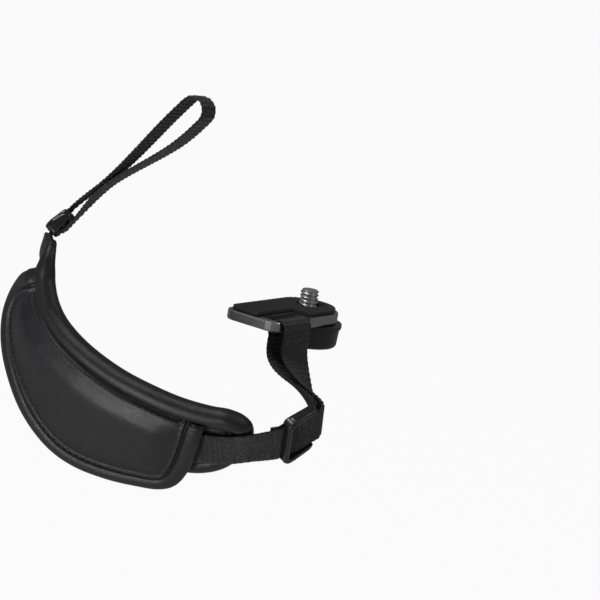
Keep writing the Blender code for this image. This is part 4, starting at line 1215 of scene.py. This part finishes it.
def build_floor():
    """A plain floor, near white to the camera and grey to the light."""
    mesh = bpy.data.meshes.new("floor")
    z = CAD_BOX[0][2] - FLOOR_DROP
    corners = [(x * FLOOR_HALF, y * FLOOR_HALF, z) for x, y in ((-1, -1), (1, -1), (1, 1), (-1, 1))]
    mesh.from_pydata(corners, [], [(0, 1, 2, 3)])
    floor = bpy.data.objects.new("floor", mesh)
    bpy.context.collection.objects.link(floor)
    mat, tree, shader = nodes_of("floor_white", (0.42, 0.42, 0.42), 0.9, specular=0.1)
    tree.links.new(two_colours(tree, noise(tree, 3.0), (0.40, 0.40, 0.40), (0.44, 0.44, 0.44)),
                   shader.inputs["Base Color"])
    glow = tree.nodes.new("ShaderNodeEmission")
    sight = tree.nodes.new("ShaderNodeLightPath")
    pale = tree.nodes.new("ShaderNodeMixShader")
    share = heights(tree, (sight.outputs["Is Camera Ray"], FLOOR_SEEN),
                    (sight.outputs["Is Glossy Ray"], FLOOR_MIRRORED))
    tree.links.new(share, pale.inputs["Fac"])
    tree.links.new(shader.outputs[0], pale.inputs[1])
    tree.links.new(glow.outputs[0], pale.inputs[2])
    tree.links.new(pale.outputs[0], tree.nodes["Material Output"].inputs["Surface"])
    mesh.materials.append(mat)


def build_world():
    """Soft light from all round, behind a white backdrop for the camera."""
    world = bpy.data.worlds.new("studio")
    bpy.context.scene.world = world
    world.use_nodes = True
    tree = world.node_tree
    tree.nodes.clear()
    mix = tree.nodes.new("ShaderNodeMixShader")
    for socket, strength in ((1, WORLD_STRENGTH), (2, 1.0)):
        sky = tree.nodes.new("ShaderNodeBackground")
        sky.inputs["Color"].default_value = (1, 1, 1, 1)
        sky.inputs["Strength"].default_value = strength
        tree.links.new(sky.outputs[0], mix.inputs[socket])
    path = tree.nodes.new("ShaderNodeLightPath")
    tree.links.new(path.outputs["Is Camera Ray"], mix.inputs["Fac"])
    out = tree.nodes.new("ShaderNodeOutputWorld")
    tree.links.new(mix.outputs[0], out.inputs["Surface"])


def area_light(name, spot, aim, size, power):
    data = bpy.data.lights.new(name, "AREA")
    data.shape = "DISK"
    data.size = size
    data.energy = power
    obj = bpy.data.objects.new(name, data)
    bpy.context.collection.objects.link(obj)
    obj.location = spot
    obj.rotation_euler = (Vector(aim) - Vector(spot)).to_track_quat("-Z", "Y").to_euler()
    obj.visible_camera = False


# The photograph's viewpoint: right, up and backward directions of its camera.
VIEW_RIGHT = np.array([0.56109343, -0.81113507, 0.16502748])
VIEW_UP = np.array([0.07412067, 0.24780143, 0.96597131])
VIEW_BACK = np.array([-0.82442725, -0.52976821, 0.19916163])
VIEW_SHIFT = (4.1 * MM, 2.2 * MM)
VIEW_FAR = 1.0
LENS = 183
SENSOR = 36

# Lamps: place to the right, up and back of the view, aim, size and power.
LAMPS = {
    "key": ((-0.3, 0.7, 0.45), (-0.03, 0.0, -0.01), 0.35, 4.5),
    "left": ((-0.21, -0.18, 0.19), (-0.03, 0.0, -0.02), 0.09, 0.46),
    "right": ((0.6, 0.25, 0.3), (-0.03, 0.0, -0.01), 0.2, 0.8),
}


def view_point(right, up, back):
    return tuple(VIEW_RIGHT * right + VIEW_UP * up + VIEW_BACK * back)


def build_camera():
    data = bpy.data.cameras.new("camera")
    data.lens = LENS
    data.sensor_width = SENSOR
    data.clip_start = 0.01
    camera = bpy.data.objects.new("camera", data)
    bpy.context.collection.objects.link(camera)
    spot = view_point(*VIEW_SHIFT, VIEW_FAR)
    camera.matrix_world = Matrix([(VIEW_RIGHT[k], VIEW_UP[k], VIEW_BACK[k], spot[k]) for k in range(3)]
                                 + [(0, 0, 0, 1)])
    bpy.context.scene.camera = camera


bpy.context.scene.view_settings.view_transform = "Standard"
build_camera()
build_floor()
build_world()
for lamp, (spot, aim, size, power) in LAMPS.items():
    area_light(lamp, view_point(*spot), aim, size, power)
build_flap()
build_cushion()
build_rim()
build_stitches()
build_lower()
build_upper()
build_screw()
build_seat()
dress("base_plate", PLATE_METAL)
dress("retaining_ring", STEEL)
